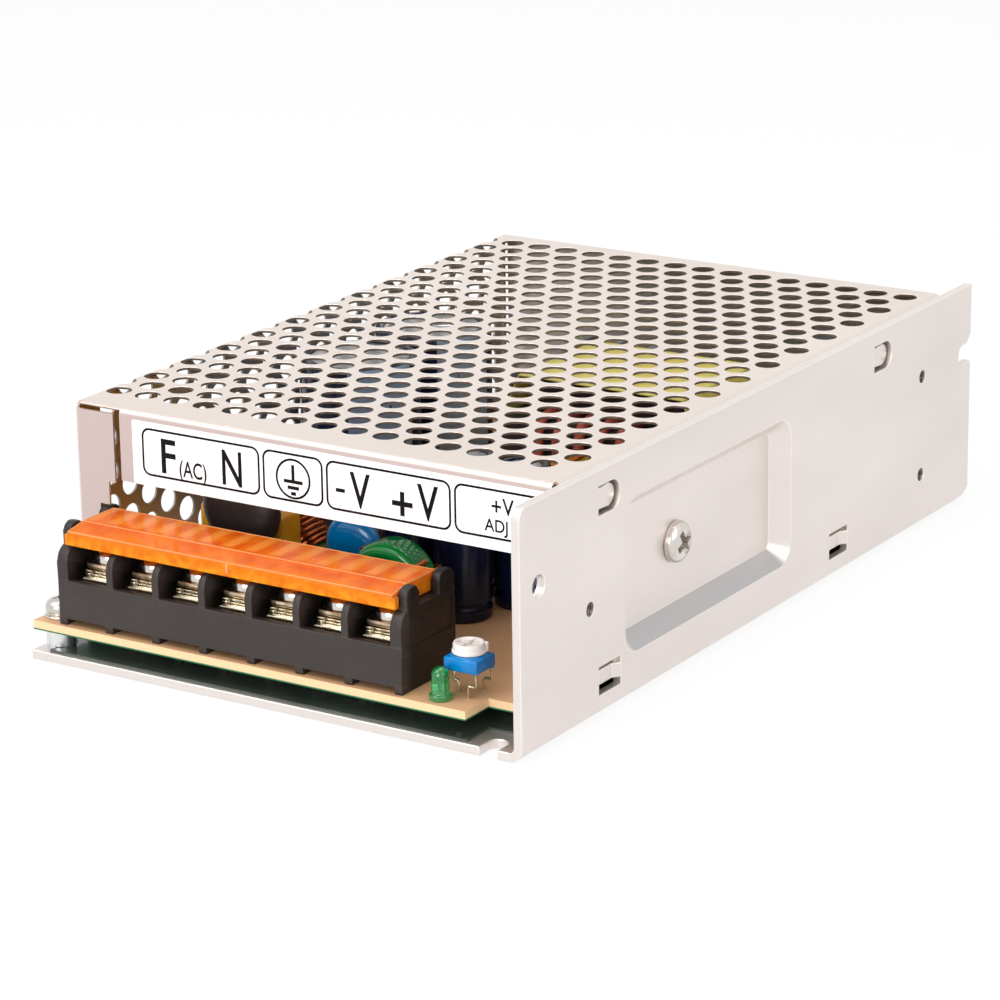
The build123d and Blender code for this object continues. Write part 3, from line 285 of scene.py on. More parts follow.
def finish(name, colour, second=None, rough=(0.35, 0.45), metallic=0.0, scale=60.0, fine=12.0,
           stretch=(1.0, 1.0, 1.0), bump=0.1, depth=0.00002, edge=0.00025, rim=1.0, coat=0.0,
           see_through=0.0, density=1.45, shine=0.5):
    """Material with a slow change of tone, a fine grain, soft edges, and a painted highlight or painted
    shade on its rims.
    """
    known = bpy.data.materials.get(name + "_finish")
    if known:
        return known
    material = bpy.data.materials.new(name + "_finish")
    material.use_nodes = True
    tree = material.node_tree
    grain = placed_group(tree, "grain", Scale=scale, Fine=fine, Stretch=stretch)
    tone = mixed(tree, grain.outputs["Tone"], colour, second or shade(colour, 0.86))
    bend = add_node(tree, "ShaderNodeBump",
                    {"Strength": bump, "Distance": depth, "Height": grain.outputs["Height"]})
    if edge:
        soft = placed_group(tree, "soft_edge", Radius=edge)
        set_inputs(tree, bend, {"Normal": soft.outputs["Normal"]})
        # rim: colour painted on the edges, lighter as a painted highlight, darker as a painted shade.
        if rim != 1.0:
            bright = rim if isinstance(rim, tuple) else shade(colour, rim)
            tone = mixed(tree, soft.outputs["Edge"], tone, bright)
    spread = add_node(tree, "ShaderNodeMapRange",
                      {"Value": grain.outputs["Tone"], "To Min": rough[0], "To Max": rough[1]})
    set_inputs(tree, tree.nodes["Principled BSDF"], {
        "Base Color": tone, "Normal": bend.outputs["Normal"], "Roughness": spread.outputs["Result"],
        "Metallic": metallic, "Coat Weight": coat, "Coat Roughness": 0.08, "IOR": density,
        "Specular IOR Level": shine, "Transmission Weight": see_through})
    return material


def paint_light_and_shade_along(material, low, high, before, direction=(0.0, 0.0, 1.0), name="painted light by height"):
    """Paint light or shade on a finish: another colour before a distance along a direction, fading over the
    range.
    """
    tree = material.node_tree
    if tree.nodes.get(name):
        return
    body, tone = base_colour(material)
    rise = placed_group(tree, "rise", Low=low, High=high, Direction=direction)
    rise.name = name
    set_inputs(tree, body, {"Base Color": mixed(tree, rise.outputs["Rise"], before, tone)})


def paint_shade_by_slope(material, direction, tint):
    """Paint shade on a finish: another, darker tone on the faces that look in one direction."""
    tree = material.node_tree
    if tree.nodes.get("painted shade by slope"):
        return
    body, tone = base_colour(material)
    normal = add_node(tree, "ShaderNodeNewGeometry").outputs["Normal"]
    way = Vector(direction).normalized()
    agree = add_node(tree, "ShaderNodeVectorMath", {0: normal, 1: way}, "DOT_PRODUCT")
    agree.name = "painted shade by slope"
    spread = add_node(tree, "ShaderNodeMapRange",
                      {"Value": agree.outputs["Value"], "From Min": 0.93, "From Max": 0.985})
    set_inputs(tree, body, {"Base Color": mixed(tree, spread.outputs["Result"], tone, tint)})


def colours():
    """Colours that a user may change."""
    return bpy.context.scene.supply_finish


def aluminium():
    """Satin sheet of the chassis, with painted highlights on its edges."""
    return finish("satin_aluminium", colours().aluminium[:], shade(colours().aluminium[:], 0.93),
                  rough=(0.3, 0.4), metallic=0.82, scale=18.0, fine=60.0, stretch=(1.0, 1.0, 3.0),
                  bump=0.12, depth=0.00001, edge=0.0004, rim=1.3)


def plated_steel():
    """Outside of the mesh cover."""
    return finish("plated_steel", colours().steel[:], shade(colours().steel[:], 0.94), rough=(0.26, 0.36),
                  metallic=0.8, scale=22.0, fine=40.0, bump=0.08, depth=0.00001, edge=0.0)


def black_moulding(name="black_moulding"):
    """Hard dark plastic of the terminal block and the packages, with painted highlights on its edges."""
    return finish(name, colours().block[:], shade(colours().block[:], 0.8), rough=(0.42, 0.55), scale=90.0,
                  fine=14.0, bump=0.25, edge=0.0003, rim=1.9)


def bright_plate():
    """Tinned strip, mottled dark and pale, partly its own tone and partly painted reflections, with painted
    highlights on its edges.
    """
    return finish("tinned_plate", paint(240, 224, 196), paint(138, 108, 80), rough=(0.12, 0.3),
                  metallic=1.0, scale=420.0, fine=5.0, bump=0.35, depth=0.00003, edge=0.0002, rim=1.3)


def bright_steel():
    """Plated steel of small screws, with painted highlights on its edges."""
    return finish("bright_steel", paint(226, 222, 216), paint(188, 184, 178), rough=(0.14, 0.26),
                  metallic=1.0, scale=160.0, fine=6.0, bump=0.15, depth=0.00001, edge=0.00012, rim=1.2)


def drawn_steel():
    """Steel of the standoffs, drawn along their length, with painted highlights on its edges."""
    return finish("drawn_steel", paint(236, 236, 236), paint(206, 208, 210), rough=(0.22, 0.34),
                  metallic=0.9, scale=400.0, fine=3.0, stretch=(1.0, 1.0, 0.1), bump=0.3,
                  edge=0.0002, rim=1.2)


def domed_steel():
    """Steel of the screw heads, with painted shade on the edges of each head."""
    return finish("domed_steel", paint(232, 226, 220), paint(196, 190, 184), rough=(0.1, 0.2),
                  metallic=1.0, scale=160.0, fine=6.0, bump=0.12, depth=0.00001, edge=0.0004,
                  rim=paint(120, 108, 98))


# Mesh helpers


def once(things):
    """Each thing once, in the order met, so that every run is the same."""
    return list(dict.fromkeys(things))


def rounded_edges(bm, edges, bevel, segments, index):
    """Round some edges by a bevel in millimetres, its new faces in one material."""
    made = bmesh.ops.bevel(bm, geom=once(edges), offset=bevel * MM, segments=segments, affect="EDGES",
                           profile=0.5)
    for face in made["faces"]:
        face.material_index = index


def built(name, bm, material, nodes=(), body="case", angle=30.0):
    """Turn a bmesh in metres into a piece that rides with a body and may stand for solids."""
    mesh = bpy.data.meshes.new(name)
    bmesh.ops.recalc_face_normals(bm, faces=bm.faces[:])
    bm.to_mesh(mesh)
    bm.free()
    mesh.shade_smooth()
    mesh.set_sharp_from_angle(angle=radians(angle))
    piece = bpy.data.objects.new(name, mesh)
    bpy.context.scene.collection.objects.link(piece)
    for one in material if isinstance(material, (list, tuple)) else [material]:
        mesh.materials.append(one)
    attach(piece, body)
    if nodes:
        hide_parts(*nodes)
    return piece


def dress(material, *names):
    """Give solids whose shape is right their finish."""
    for name in names:
        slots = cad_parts[name].material_slots
        if not len(slots):
            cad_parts[name].data.materials.append(material)
        for slot in slots:
            slot.material = material


def add_block(bm, low, high, bevel=0.0, segments=2, index=0):
    """Box between two corners, in millimetres, with its edges rounded."""
    verts = bmesh.ops.create_cube(bm, size=1.0)["verts"]
    low, high = spot(*low), spot(*high)
    for vert in verts:
        vert.co = Vector(low[i] if vert.co[i] < 0 else high[i] for i in range(3))
    for face in once(face for vert in verts for face in vert.link_faces):
        face.material_index = index
    if bevel:
        rounded_edges(bm, (edge for vert in verts for edge in vert.link_edges), bevel, segments, index)


def turned_spot(place, axis, radius, angle, along):
    """Place on a turned form, from its radius, its angle and the distance along its axis."""
    across, up = radius * cos(angle), radius * sin(angle)
    local = {"X": (along, across, up), "Y": (across, along, up), "Z": (across, up, along)}[axis]
    return spot(*(place[k] + local[k] for k in range(3)))


def add_turned(bm, profile, place, axis="Z", points=32, index=0):
    """Closed turned form: profile of (radius, distance along the axis) in millimetres."""
    rings = []
    for radius, along in profile:
        count = points if radius > 1e-6 else 1
        rings.append([bm.verts.new(turned_spot(place, axis, radius, tau * i / count, along))
                      for i in range(count)])
    for below, above in zip(rings, rings[1:]):
        for i in range(max(len(below), len(above))):
            corners = [below[i % len(below)], below[(i + 1) % len(below)],
                       above[(i + 1) % len(above)], above[i % len(above)]]
            unique = list(dict.fromkeys(corners))
            if len(unique) > 2:
                bm.faces.new(unique).material_index = index
    for ring in (rings[0], rings[-1]):
        if len(ring) > 1:
            bm.faces.new(ring).material_index = index


def add_ring(bm, section, place, points=32, index=0, axis="Z"):
    """Closed ring about an axis: section of (radius, distance along it) in millimetres."""
    rings = []
    for i in range(points):
        turn = tau * i / points
        spots = [turned_spot(place, axis, radius, turn, along) for radius, along in section]
        rings.append([bm.verts.new(one) for one in spots])
    for here, after in zip(rings, rings[1:] + rings[:1]):
        for k in range(len(section)):
            up = (k + 1) % len(section)
            bm.faces.new([here[k], here[up], after[up], after[k]]).material_index = index


def board_screw_places():
    """Middles of the board's screws, read from the washers' solids."""
    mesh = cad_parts["board_washers"].data
    corners = [(vert.co - CASE_LOW) / MM for vert in mesh.vertices]
    washer_width = 6.0
    groups = []
    for corner in corners:
        for group in groups:
            if (group[0].xy - corner.xy).length < washer_width:
                group.append(corner)
                break
        else:
            groups.append([corner])
    places = []
    for group in groups:
        xs, ys = [c.x for c in group], [c.y for c in group]
        places.append(((min(xs) + max(xs)) / 2, (min(ys) + max(ys)) / 2))
    return places


def add_bar(bm, path, radius, points=8, index=0):
    """Round bar or wire along a path of places in millimetres, closed at its ends."""
    rings = []
    spots = [Vector(p) for p in path]
    side = None
    for i, here in enumerate(spots):
        before = spots[max(i - 1, 0)]
        after = spots[min(i + 1, len(spots) - 1)]
        along = (after - before).normalized()
        if side is None:
            side = along.orthogonal().normalized()
        side = (side - along * side.dot(along)).normalized()
        up = along.cross(side)
        turns = [tau * k / points for k in range(points)]
        rings.append([bm.verts.new(spot(*(here + radius * (cos(a) * side + sin(a) * up)))) for a in turns])
    for below, above in zip(rings, rings[1:]):
        for k in range(points):
            face = bm.faces.new([below[k], below[(k + 1) % points], above[(k + 1) % points], above[k]])
            face.material_index = index
    bm.faces.new(rings[0]).material_index = index
    bm.faces.new(rings[-1]).material_index = index


def add_slab(bm, outline, low, high, axis="X", index=0, bevel=0.0, segments=2):
    """Flat form in millimetres: an outline in the plane across an axis, thick along it."""
    def place(a, b, along):
        return {"X": (along, a, b), "Y": (a, along, b), "Z": (a, b, along)}[axis]

    near = [bm.verts.new(spot(*place(a, b, low))) for a, b in outline]
    far = [bm.verts.new(spot(*place(a, b, high))) for a, b in outline]
    faces = [bm.faces.new(near), bm.faces.new(list(reversed(far)))]
    count = len(outline)
    for i in range(count):
        after = (i + 1) % count
        faces.append(bm.faces.new([near[after], near[i], far[i], far[after]]))
    for face in faces:
        face.material_index = index
    if bevel:
        rounded_edges(bm, (edge for face in faces[:2] for edge in face.edges), bevel, segments, index)


def add_band(bm, outline, thick, low, high, out=0.0):
    """Band wrapped round a closed outline across the case, in millimetres."""
    middle = Vector((sum(a for a, _ in outline) / len(outline), sum(b for _, b in outline) / len(outline)))
    rings = []
    for grow, along in ((out, low), (out, high), (out - thick, high), (out - thick, low)):
        ring = []
        for a, b in outline:
            away = Vector((a, b)) - middle
            away *= 1 + grow / away.length
            a, b = middle + away
            ring.append(bm.verts.new(spot(a, along, b)))
        rings.append(ring)
    for here, after in zip(rings, rings[1:] + rings[:1]):
        for i in range(len(outline)):
            up = (i + 1) % len(outline)
            bm.faces.new([here[i], here[up], after[up], after[i]])


def carved(bm, tool):
    """The form with another form cut out of it."""
    pair = []
    for part in (bm, tool):
        bmesh.ops.recalc_face_normals(part, faces=part.faces[:])
        mesh = bpy.data.meshes.new("form")
        part.to_mesh(mesh)
        part.free()
        one = bpy.data.objects.new("form", mesh)
        bpy.context.scene.collection.objects.link(one)
        pair.append(one)
    cut_out = pair[0].modifiers.new("cut", "BOOLEAN")
    cut_out.operation = "DIFFERENCE"
    cut_out.object = pair[1]
    cut_out.solver = "EXACT"
    cut_out.use_self = True
    made = bpy.data.meshes.new_from_object(pair[0].evaluated_get(bpy.context.evaluated_depsgraph_get()))
    out = bmesh.new()
    out.from_mesh(made)
    bpy.data.meshes.remove(made)
    if not out.faces:
        raise RuntimeError("nothing is left of a carved form")
    for one in pair:
        bpy.data.meshes.remove(one.data)
    return out


def joined(bm, part):
    """Put one form's faces into another."""
    mesh = bpy.data.meshes.new("part")
    part.to_mesh(mesh)
    part.free()
    bm.from_mesh(mesh)
    bpy.data.meshes.remove(mesh)


def add_screw(bm, seat, axis, radius, height, shank, length, turn=0.0, cross=(0.62, 0.11)):
    """Domed pan head screw with a cross recess, its head on a seat and its shank behind."""
    head = [(0.0, -length), (shank, -length), (shank, 0.0), (radius - 0.15, 0.0), (radius, 0.15),
            (radius, height * 0.35)]
    for k in range(1, 6):
        turn_up = radians(90 * k / 6)
        head.append((radius * 0.35 + radius * 0.65 * cos(turn_up), height * (0.35 + 0.65 * sin(turn_up))))
    head += [(radius * 0.3, height), (0.0, height)]
    form, tool = bmesh.new(), bmesh.new()
    add_turned(form, head, seat, axis, 40)
    for quarter in (0, 1):
        angle = turn + quarter * pi / 2
        along = Vector((cos(angle), sin(angle)))
        side = Vector((-along.y, along.x))
        deep, wide = height * 0.4, radius * cross[1]
        corners = []
        for up, reach, half in ((height + 1, radius * cross[0], wide), (deep, radius * 0.3, wide * 0.8)):
            for a, b in ((-1, -1), (1, -1), (1, 1), (-1, 1)):
                flat = along * a * reach + side * b * half
                local = {"X": (up, flat.x, flat.y), "Z": (flat.x, flat.y, up)}[axis]
                corners.append(tool.verts.new(spot(*(seat[i] + local[i] for i in range(3)))))
        for face in ((0, 1, 2, 3), (7, 6, 5, 4), (1, 0, 4, 5), (2, 1, 5, 6), (3, 2, 6, 7), (0, 3, 7, 4)):
            tool.faces.new([corners[i] for i in face])
    joined(bm, carved(form, tool))


def add_flush_screw(bm, place, radius, shank, length):
    """Countersunk screw with a cross recess, its flat head towards the case's left."""
    form, tool = bmesh.new(), bmesh.new()
    add_turned(form, [(0.0, 0.03), (radius - 0.1, 0.03), (radius, 0.12), (shank, radius - shank + 0.12),
                      (shank, length), (0.0, length)], place, "X", 40)
    reach, half, deep = radius * 0.55, radius * 0.11, radius * 0.35
    for wide, tall in ((reach, half), (half, reach)):
        add_block(tool, (place[0] - 1, place[1] - wide, place[2] - tall),
                  (place[0] + deep, place[1] + wide, place[2] + tall))
    joined(bm, carved(form, tool))


# Folded cover


class Cover:
    """Sizes of the folded sheet, in millimetres: its box comes from the solid."""

    sheet = 0.45
    fold = 1.2
    pitch = 6.1
    hole = 2.2
    rows = 24
    first_row = 22.9
    first_wall = -5
    last_top = 14
    label_left = 9.8
    label_drop = 12.7
    corner_right = 8.4
    corner_low = 7.6
    corner_steps = ((24.6, 5.0), (28.6, 7.0))
    flange_drop = 6.0
    hook_middles = (27.1, 123.0)
    hook_window = 9.4
    screw_middles = (30.0, 125.0)
    screw_height = 5.0
    screw_head = 2.85
    screw_shank = 1.2
    rear_hole = (14.0, 33.0, 1.6)
    # Depths over which the cover's inside shows painted amber reflected light.
    painted_amber_light = (22.0, 52.0)


def fold_round(beyond, inward, radius):
    """Place along and inward of a point that lies some way beyond a fold's sharp corner."""
    if beyond <= -radius:
        return beyond, inward
    if beyond >= radius:
        return -inward, beyond
    turn = (beyond + radius) / (2 * radius) * pi / 2
    reach = radius - inward
    return reach * sin(turn) - radius, radius - reach * cos(turn)


def folded(across, depth, inward, cover, edges):
    """Place on the folded cover of a point on its flat blank.

    The blank runs up the left wall, over the top and down behind the panel; its front
    and rear ends turn down, or inward where they hang on the left wall.
    """
    on_wall = across < -cover.fold
    front, rear = edges["front"] - depth, depth - edges["rear"]
    along, drop = depth, inward
    if front > -cover.fold:
        out, drop = fold_round(front, inward, cover.fold)
        along = edges["front"] - out
    elif rear > -cover.fold:
        out, drop = fold_round(rear, inward, cover.fold)
        along = edges["rear"] + out
    if drop > cover.fold and not on_wall:
        return across, along, edges["top"] - drop
    if across < cover.fold:
        out, deep = fold_round(-across, drop, cover.fold)
        return -out, along, edges["top"] - deep
    if across > edges["right"] - cover.fold:
        out, deep = fold_round(across - edges["right"], drop, cover.fold)
        return edges["right"] + out, along, edges["top"] - deep
    return across, along, edges["top"] - drop


def add_cells(bm, cover, low, high, points):
    """Staggered six-sided cells over a flat area, most of them round a hole."""
    corner = cover.pitch / sqrt(3)
    row_step = cover.pitch * sin(pi / 3)
    per_side = points // 6
    known = {}
    holes = []

    def vertex(x, y):
        key = (round(x, 3), round(y, 3))
        if key not in known:
            known[key] = bm.verts.new((x, y, 0))
        return known[key]

    row = int((low[1] - cover.first_row) // row_step)
    while cover.first_row + row * row_step < high[1] + corner:
        depth = cover.first_row + row * row_step
        shift = cover.pitch / 2 * (1 + row % 2)
        column = int((low[0] - shift) // cover.pitch)
        while shift + column * cover.pitch < high[0] + cover.pitch:
            middle = Vector((shift + column * cover.pitch, depth))
            rim = []
            for side in range(6):
                start = Vector((cos(pi / 2 + side * pi / 3), sin(pi / 2 + side * pi / 3))) * corner
                end = Vector((cos(pi / 2 + (side + 1) * pi / 3), sin(pi / 2 + (side + 1) * pi / 3))) * corner
                for k in range(per_side):
                    rim.append(vertex(*(middle + start.lerp(end, k / per_side))))
            first = cover.first_wall - row % 2
            if 0 <= row < cover.rows and first <= column <= cover.last_top:
                ring = [
                    bm.verts.new((
                        middle.x + cover.hole * cos(pi / 2 + tau * k / points),
                        middle.y + cover.hole * sin(pi / 2 + tau * k / points), 0))
                    for k in range(6 * per_side)
                ]
                for k in range(len(rim)):
                    after = (k + 1) % len(rim)
                    bm.faces.new([rim[k], rim[after], ring[after], ring[k]])
                holes.append((middle.copy(), cover.hole))
            else:
                bm.faces.new(rim)
            column += 1
        row += 1
    return holes


def cut(bm, place, normal, keep=None, clear=False):
    """Cut the flat blank along a line, over the faces that a test keeps."""
    faces = [face for face in bm.faces if keep is None or keep(face.calc_center_median())]
    edges = once(edge for face in faces for edge in face.edges)
    verts = once(vert for face in faces for vert in face.verts)
    bmesh.ops.bisect_plane(bm, geom=faces + edges + verts, plane_co=(*place, 0), plane_no=(*normal, 0),
                           clear_outer=clear, dist=1e-4)


def punch(bm, middle, radius, points=32):
    """Single hole in an area without a pattern, with the faces round it filled anew."""
    middle = Vector(middle)
    near = [
        face for face in bm.faces
        if min((vert.co.xy - middle).length for vert in face.verts) < radius + 0.6
        or (face.calc_center_median().xy - middle).length < radius + 1.0
    ]
    near_set = set(near)
    border = once(
        edge for face in near for edge in face.edges
        if sum(1 for other in edge.link_faces if other in near_set) == 1
    )
    keys = [(edge.verts[0], edge.verts[1]) for edge in border]
    bmesh.ops.delete(bm, geom=near, context="FACES_KEEP_BOUNDARY")
    edges = []
    for first, second in keys:
        edges.append(bm.edges.get((first, second)) or bm.edges.new((first, second)))
    turns = [tau * k / points for k in range(points)]
    ring = [bm.verts.new((middle.x + radius * cos(a), middle.y + radius * sin(a), 0)) for a in turns]
    for k in range(points):
        edges.append(bm.edges.new((ring[k], ring[(k + 1) % points])))
    bmesh.ops.triangle_fill(bm, edges=edges, use_beauty=True)
    return middle, radius


def fold_lines(middle, radius, steps=5):
    """Lines across a fold that let it bend round."""
    return [middle - radius + 2 * radius * i / steps for i in range(steps + 1)]


def cover_blank(cover, edges, points):
    """Flat blank of the cover with all its holes, cut to its outline."""
    bm = bmesh.new()
    wall = -(edges["top"] - edges["low"])
    right = edges["right"] + cover.flange_drop
    front = edges["front"] - cover.label_drop
    rear = edges["rear"] + edges["top"] - edges["low"]
    holes = add_cells(bm, cover, (wall, front), (right, rear), points)
    outline = (((wall, 0), (-1, 0)), ((right, 0), (1, 0)), ((0, front), (0, -1)), ((0, rear), (0, 1)))
    for place, way in outline:
        cut(bm, place, way, clear=True)
    for line in fold_lines(0, cover.fold):
        cut(bm, (line, 0), (1, 0))
    for line in fold_lines(edges["right"], cover.fold):
        cut(bm, (line, 0), (1, 0), lambda c: c.x > edges["right"] - cover.pitch)
    for line in fold_lines(edges["front"], cover.fold) + [edges["front"]]:
        cut(bm, (0, line), (0, 1), lambda c: c.y < edges["front"] + cover.pitch)
    for line in fold_lines(edges["rear"], cover.fold):
        cut(bm, (0, line), (0, 1), lambda c: c.y > edges["rear"] - cover.pitch)
    flat_front = edges["front"] + cover.fold
    flat_rear = edges["rear"] - cover.fold
    flat_right = edges["right"] - cover.fold

    def at_front(c):
        return c.y < flat_front

    def at_rear(c):
        return c.y > flat_rear

    corner_low = cover.corner_low - edges["top"]
    steps = [(top - edges["top"], reach) for top, reach in cover.corner_steps]
    for line in [cover.label_left, flat_right, corner_low] + [line for line, _ in steps]:
        cut(bm, (line, 0), (1, 0), at_front)
    for reach in [cover.corner_right] + [reach for _, reach in steps]:
        cut(bm, (0, edges["front"] - reach), (0, 1), lambda c: c.x < 0)
    for line in (cover.fold, flat_right):
        cut(bm, (line, 0), (1, 0), at_rear)
    windows = []
    for middle in cover.hook_middles:
        windows.append((middle - cover.hook_window / 2, middle + cover.hook_window / 2))
        for line in windows[-1]:
            cut(bm, (0, line), (0, 1), lambda c: c.x > flat_right)

    def kept(c):
        if flat_front <= c.y <= flat_rear:
            if c.x > edges["right"] + cover.fold:
                return not any(start < c.y < end for start, end in windows)
            return True
        if c.y > flat_rear:
            if c.x < 0:
                return c.y < edges["rear"] and c.x < -cover.fold
            return cover.fold < c.x < flat_right
        if c.x < -cover.fold:
            if c.y > edges["front"] - cover.fold:
                return c.x > corner_low or c.y > edges["front"]
            if c.x < corner_low:
                return False
            reach = next((reach for line, reach in steps if c.x < line), cover.corner_right)
            return c.y > edges["front"] - reach
        return c.x > cover.label_left and c.x < flat_right or (
            cover.fold < c.x < cover.label_left and c.y > edges["front"])

    spare = [face for face in bm.faces if not kept(face.calc_center_median())]
    bmesh.ops.delete(bm, geom=spare, context="FACES")
    for middle in cover.screw_middles:
        holes.append(punch(bm, (cover.screw_height - edges["top"], middle), cover.screw_head))
    rear = cover.rear_hole
    holes.append(punch(bm, (rear[0], edges["rear"] + edges["top"] - rear[1]), rear[2]))
    return bm, holes


def thick_and_folded(bm, holes, cover, edges, bevel):
    """Closed folded sheet from the flat blank: both faces, the rims of the holes, the edges."""
    cell = 8.0
    grid = {}
    for middle, radius in holes:
        grid.setdefault((middle.x // cell, middle.y // cell), []).append((middle, radius))

    def hole_at(place):
        for i in (-1, 0, 1):
            for j in (-1, 0, 1):
                for middle, radius in grid.get((place.x // cell + i, place.y // cell + j), ()):
                    if (place.xy - middle).length < radius + 0.02:
                        return middle, radius
        return None

    out = bmesh.new()
    front, middle_ring, back = {}, {}, {}

    def add(x, y, w):
        return out.verts.new(spot(*folded(x, y, w, cover, edges)))

    rims = {vert for edge in bm.edges if len(edge.link_faces) == 1 for vert in edge.verts}
    for vert in bm.verts:
        if not vert.link_faces:
            continue
        x, y = vert.co.x, vert.co.y
        hole = hole_at(vert.co) if vert in rims else None
        if hole:
            away = (vert.co.xy - hole[0]).normalized() * bevel
            front[vert] = add(x + away.x, y + away.y, 0)
            middle_ring[vert] = add(x, y, bevel)
        else:
            front[vert] = add(x, y, 0)
        back[vert] = add(x, y, cover.sheet)
    for face in bm.faces:
        out.faces.new([front[vert] for vert in face.verts])
        out.faces.new([back[vert] for vert in reversed(face.verts)]).material_index = 1
    for edge in bm.edges:
        if len(edge.link_faces) != 1:
            continue
        a, b = edge.verts
        if a in middle_ring and b in middle_ring:
            out.faces.new([front[a], front[b], middle_ring[b], middle_ring[a]])
            out.faces.new([middle_ring[a], middle_ring[b], back[b], back[a]]).material_index = 2
        else:
            strip = [front[a], front[b], back[b], back[a]]
            if b in middle_ring:
                strip.insert(2, middle_ring[b])
            if a in middle_ring:
                strip.append(middle_ring[a])
            out.faces.new(strip)
    return out


class PSU_OT_mesh_cover(bpy.types.Operator):
    """Fold the perforated sheet over the case"""

    bl_idname = "supply.mesh_cover"
    bl_label = "Mesh cover"

    def execute(self, context):
        sizes = context.scene.supply_sizes
        low, high = span("mesh_cover")
        cover = Cover()
        edges = {"front": low.y, "rear": high.y, "top": high.z, "low": low.z, "right": high.x}
        blank, holes = cover_blank(cover, edges, sizes.hole_points)
        bm = thick_and_folded(blank, holes, cover, edges, sizes.rim_bevel)
        blank.free()
        inside = finish("plated_inside", paint(208, 200, 192), paint(186, 178, 170), rough=(0.2, 0.3),
                        metallic=0.6, scale=22.0, fine=40.0, bump=0.08, depth=0.00001, edge=0.0)
        # The inside is painted amber towards the front: a painted reflection of amber light.
        painted_amber_light = [spot(0, depth, 0).y for depth in Cover.painted_amber_light]
        paint_light_and_shade_along(inside, *painted_amber_light, paint(238, 190, 112), (0.0, 1.0, 0.0), "amber front")
        # The walls of the holes are painted darker than the sheet: painted shade inside the holes.
        punched = finish("punched_wall_painted_shade", paint(150, 140, 130), paint(122, 112, 104), rough=(0.3, 0.4),
                         metallic=0.8, scale=90.0, bump=0.15, edge=0.0)
        outer = plated_steel()
        # Faces that look to the front are painted darker: painted shade.
        paint_shade_by_slope(outer, (0.0, -1.0, 0.0), paint(208, 188, 184))
        built("folded_mesh_cover", bm, [outer, inside, punched], ["mesh_cover"])
        return {"FINISHED"}


# Label


def font_mesh(body):
    """Flat mesh of some letters."""
    curve = bpy.data.curves.new("letters", "FONT")
    curve.body = body
    curve.offset = 0.012
    text = bpy.data.objects.new("letters", curve)
    bpy.context.scene.collection.objects.link(text)
    bpy.context.view_layer.update()
    mesh = bpy.data.meshes.new_from_object(text)
    bpy.data.objects.remove(text)
    bpy.data.curves.remove(curve)
    return mesh


def lettering(body, left, right, low, high):
    """Letters as flat faces that fill a box on the label: their places and their faces."""
    mesh = font_mesh(body)
    xs = [vert.co.x for vert in mesh.vertices]
    ys = [vert.co.y for vert in mesh.vertices]
    wide, tall = max(xs) - min(xs), max(ys) - min(ys)
    places = [(left + (x - min(xs)) / wide * (right - left), low + (y - min(ys)) / tall * (high - low))
              for x, y in zip(xs, ys)]
    faces = [list(face.vertices) for face in mesh.polygons]
    bpy.data.meshes.remove(mesh)
    return places, faces


def rounded_outline(left, right, low, high, radius, steps=6):
    """Corner points of a rectangle with round corners."""
    points = []
    for x, z, start in ((right - radius, high - radius, 0), (left + radius, high - radius, 90),
                        (left + radius, low + radius, 180), (right - radius, low + radius, 270)):
        for k in range(steps + 1):
            angle = radians(start + 90 * k / steps)
            points.append((x + radius * cos(angle), z + radius * sin(angle)))
    return points


def add_printed(bm, places, faces, depth, index=1):
    """Flat printed shapes on the label's face."""
    verts = [bm.verts.new(spot(x, depth, z)) for x, z in places]
    for face in faces:
        bm.faces.new([verts[i] for i in face]).material_index = index


def add_loop_line(bm, points, weight, depth, index=1, closed=True):
    """Line of even weight along a closed or open row of points on the label."""
    count = len(points)
    inner, outer = [], []
    for i, point in enumerate(points):
        before = points[(i - 1) % count] if closed or i else point
        after = points[(i + 1) % count] if closed or i < count - 1 else point
        along = Vector((after[0] - before[0], after[1] - before[1])).normalized()
        side = Vector((-along.y, along.x)) * weight / 2
        inner.append(bm.verts.new(spot(point[0] + side.x, depth, point[1] + side.y)))
        outer.append(bm.verts.new(spot(point[0] - side.x, depth, point[1] - side.y)))
    for i in range(count if closed else count - 1):
        after = (i + 1) % count
        bm.faces.new([inner[i], inner[after], outer[after], outer[i]]).material_index = index


class Label:
    """Layout of the printed label, in millimetres off the case's left face and foot."""

    outline = (12.5, 95.1, 29.3, 40.5)
    thick = 0.09
    ink = 0.012
    frames = ((14.7, 38.6), (39.6, 51.3), (52.3, 76.2), (77.2, 94.6))
    frame_low, frame_high = 31.3, 39.3
    frame_corner = 1.4
    earth_middle = (45.5, 35.1)
    earth_radius = 3.3
    earth_bars = (((45.5, 37.5), (45.5, 34.8)), ((43.6, 34.6), (47.4, 34.6)),
                  ((44.35, 33.55), (46.65, 33.55)), ((45.0, 32.55), (46.0, 32.55)))
    shift, drop = 1.2, 0.45
    words = (
        ("F", 17.3, 20.3, 32.45, 38.5), ("(AC)", 21.0, 26.6, 31.5, 35.3), ("N", 29.9, 33.9, 32.4, 38.5),
        ("-", 52.8, 54.6, 34.75, 35.4), ("V", 55.6, 59.6, 32.5, 38.6),
        ("+", 63.8, 67.8, 32.6, 36.7), ("V", 68.7, 72.8, 32.5, 38.6),
        ("+", 82.9, 84.7, 36.1, 38.1), ("V", 84.9, 87.1, 35.8, 38.6), ("ADJ", 81.5, 85.9, 32.1, 34.9),
    )


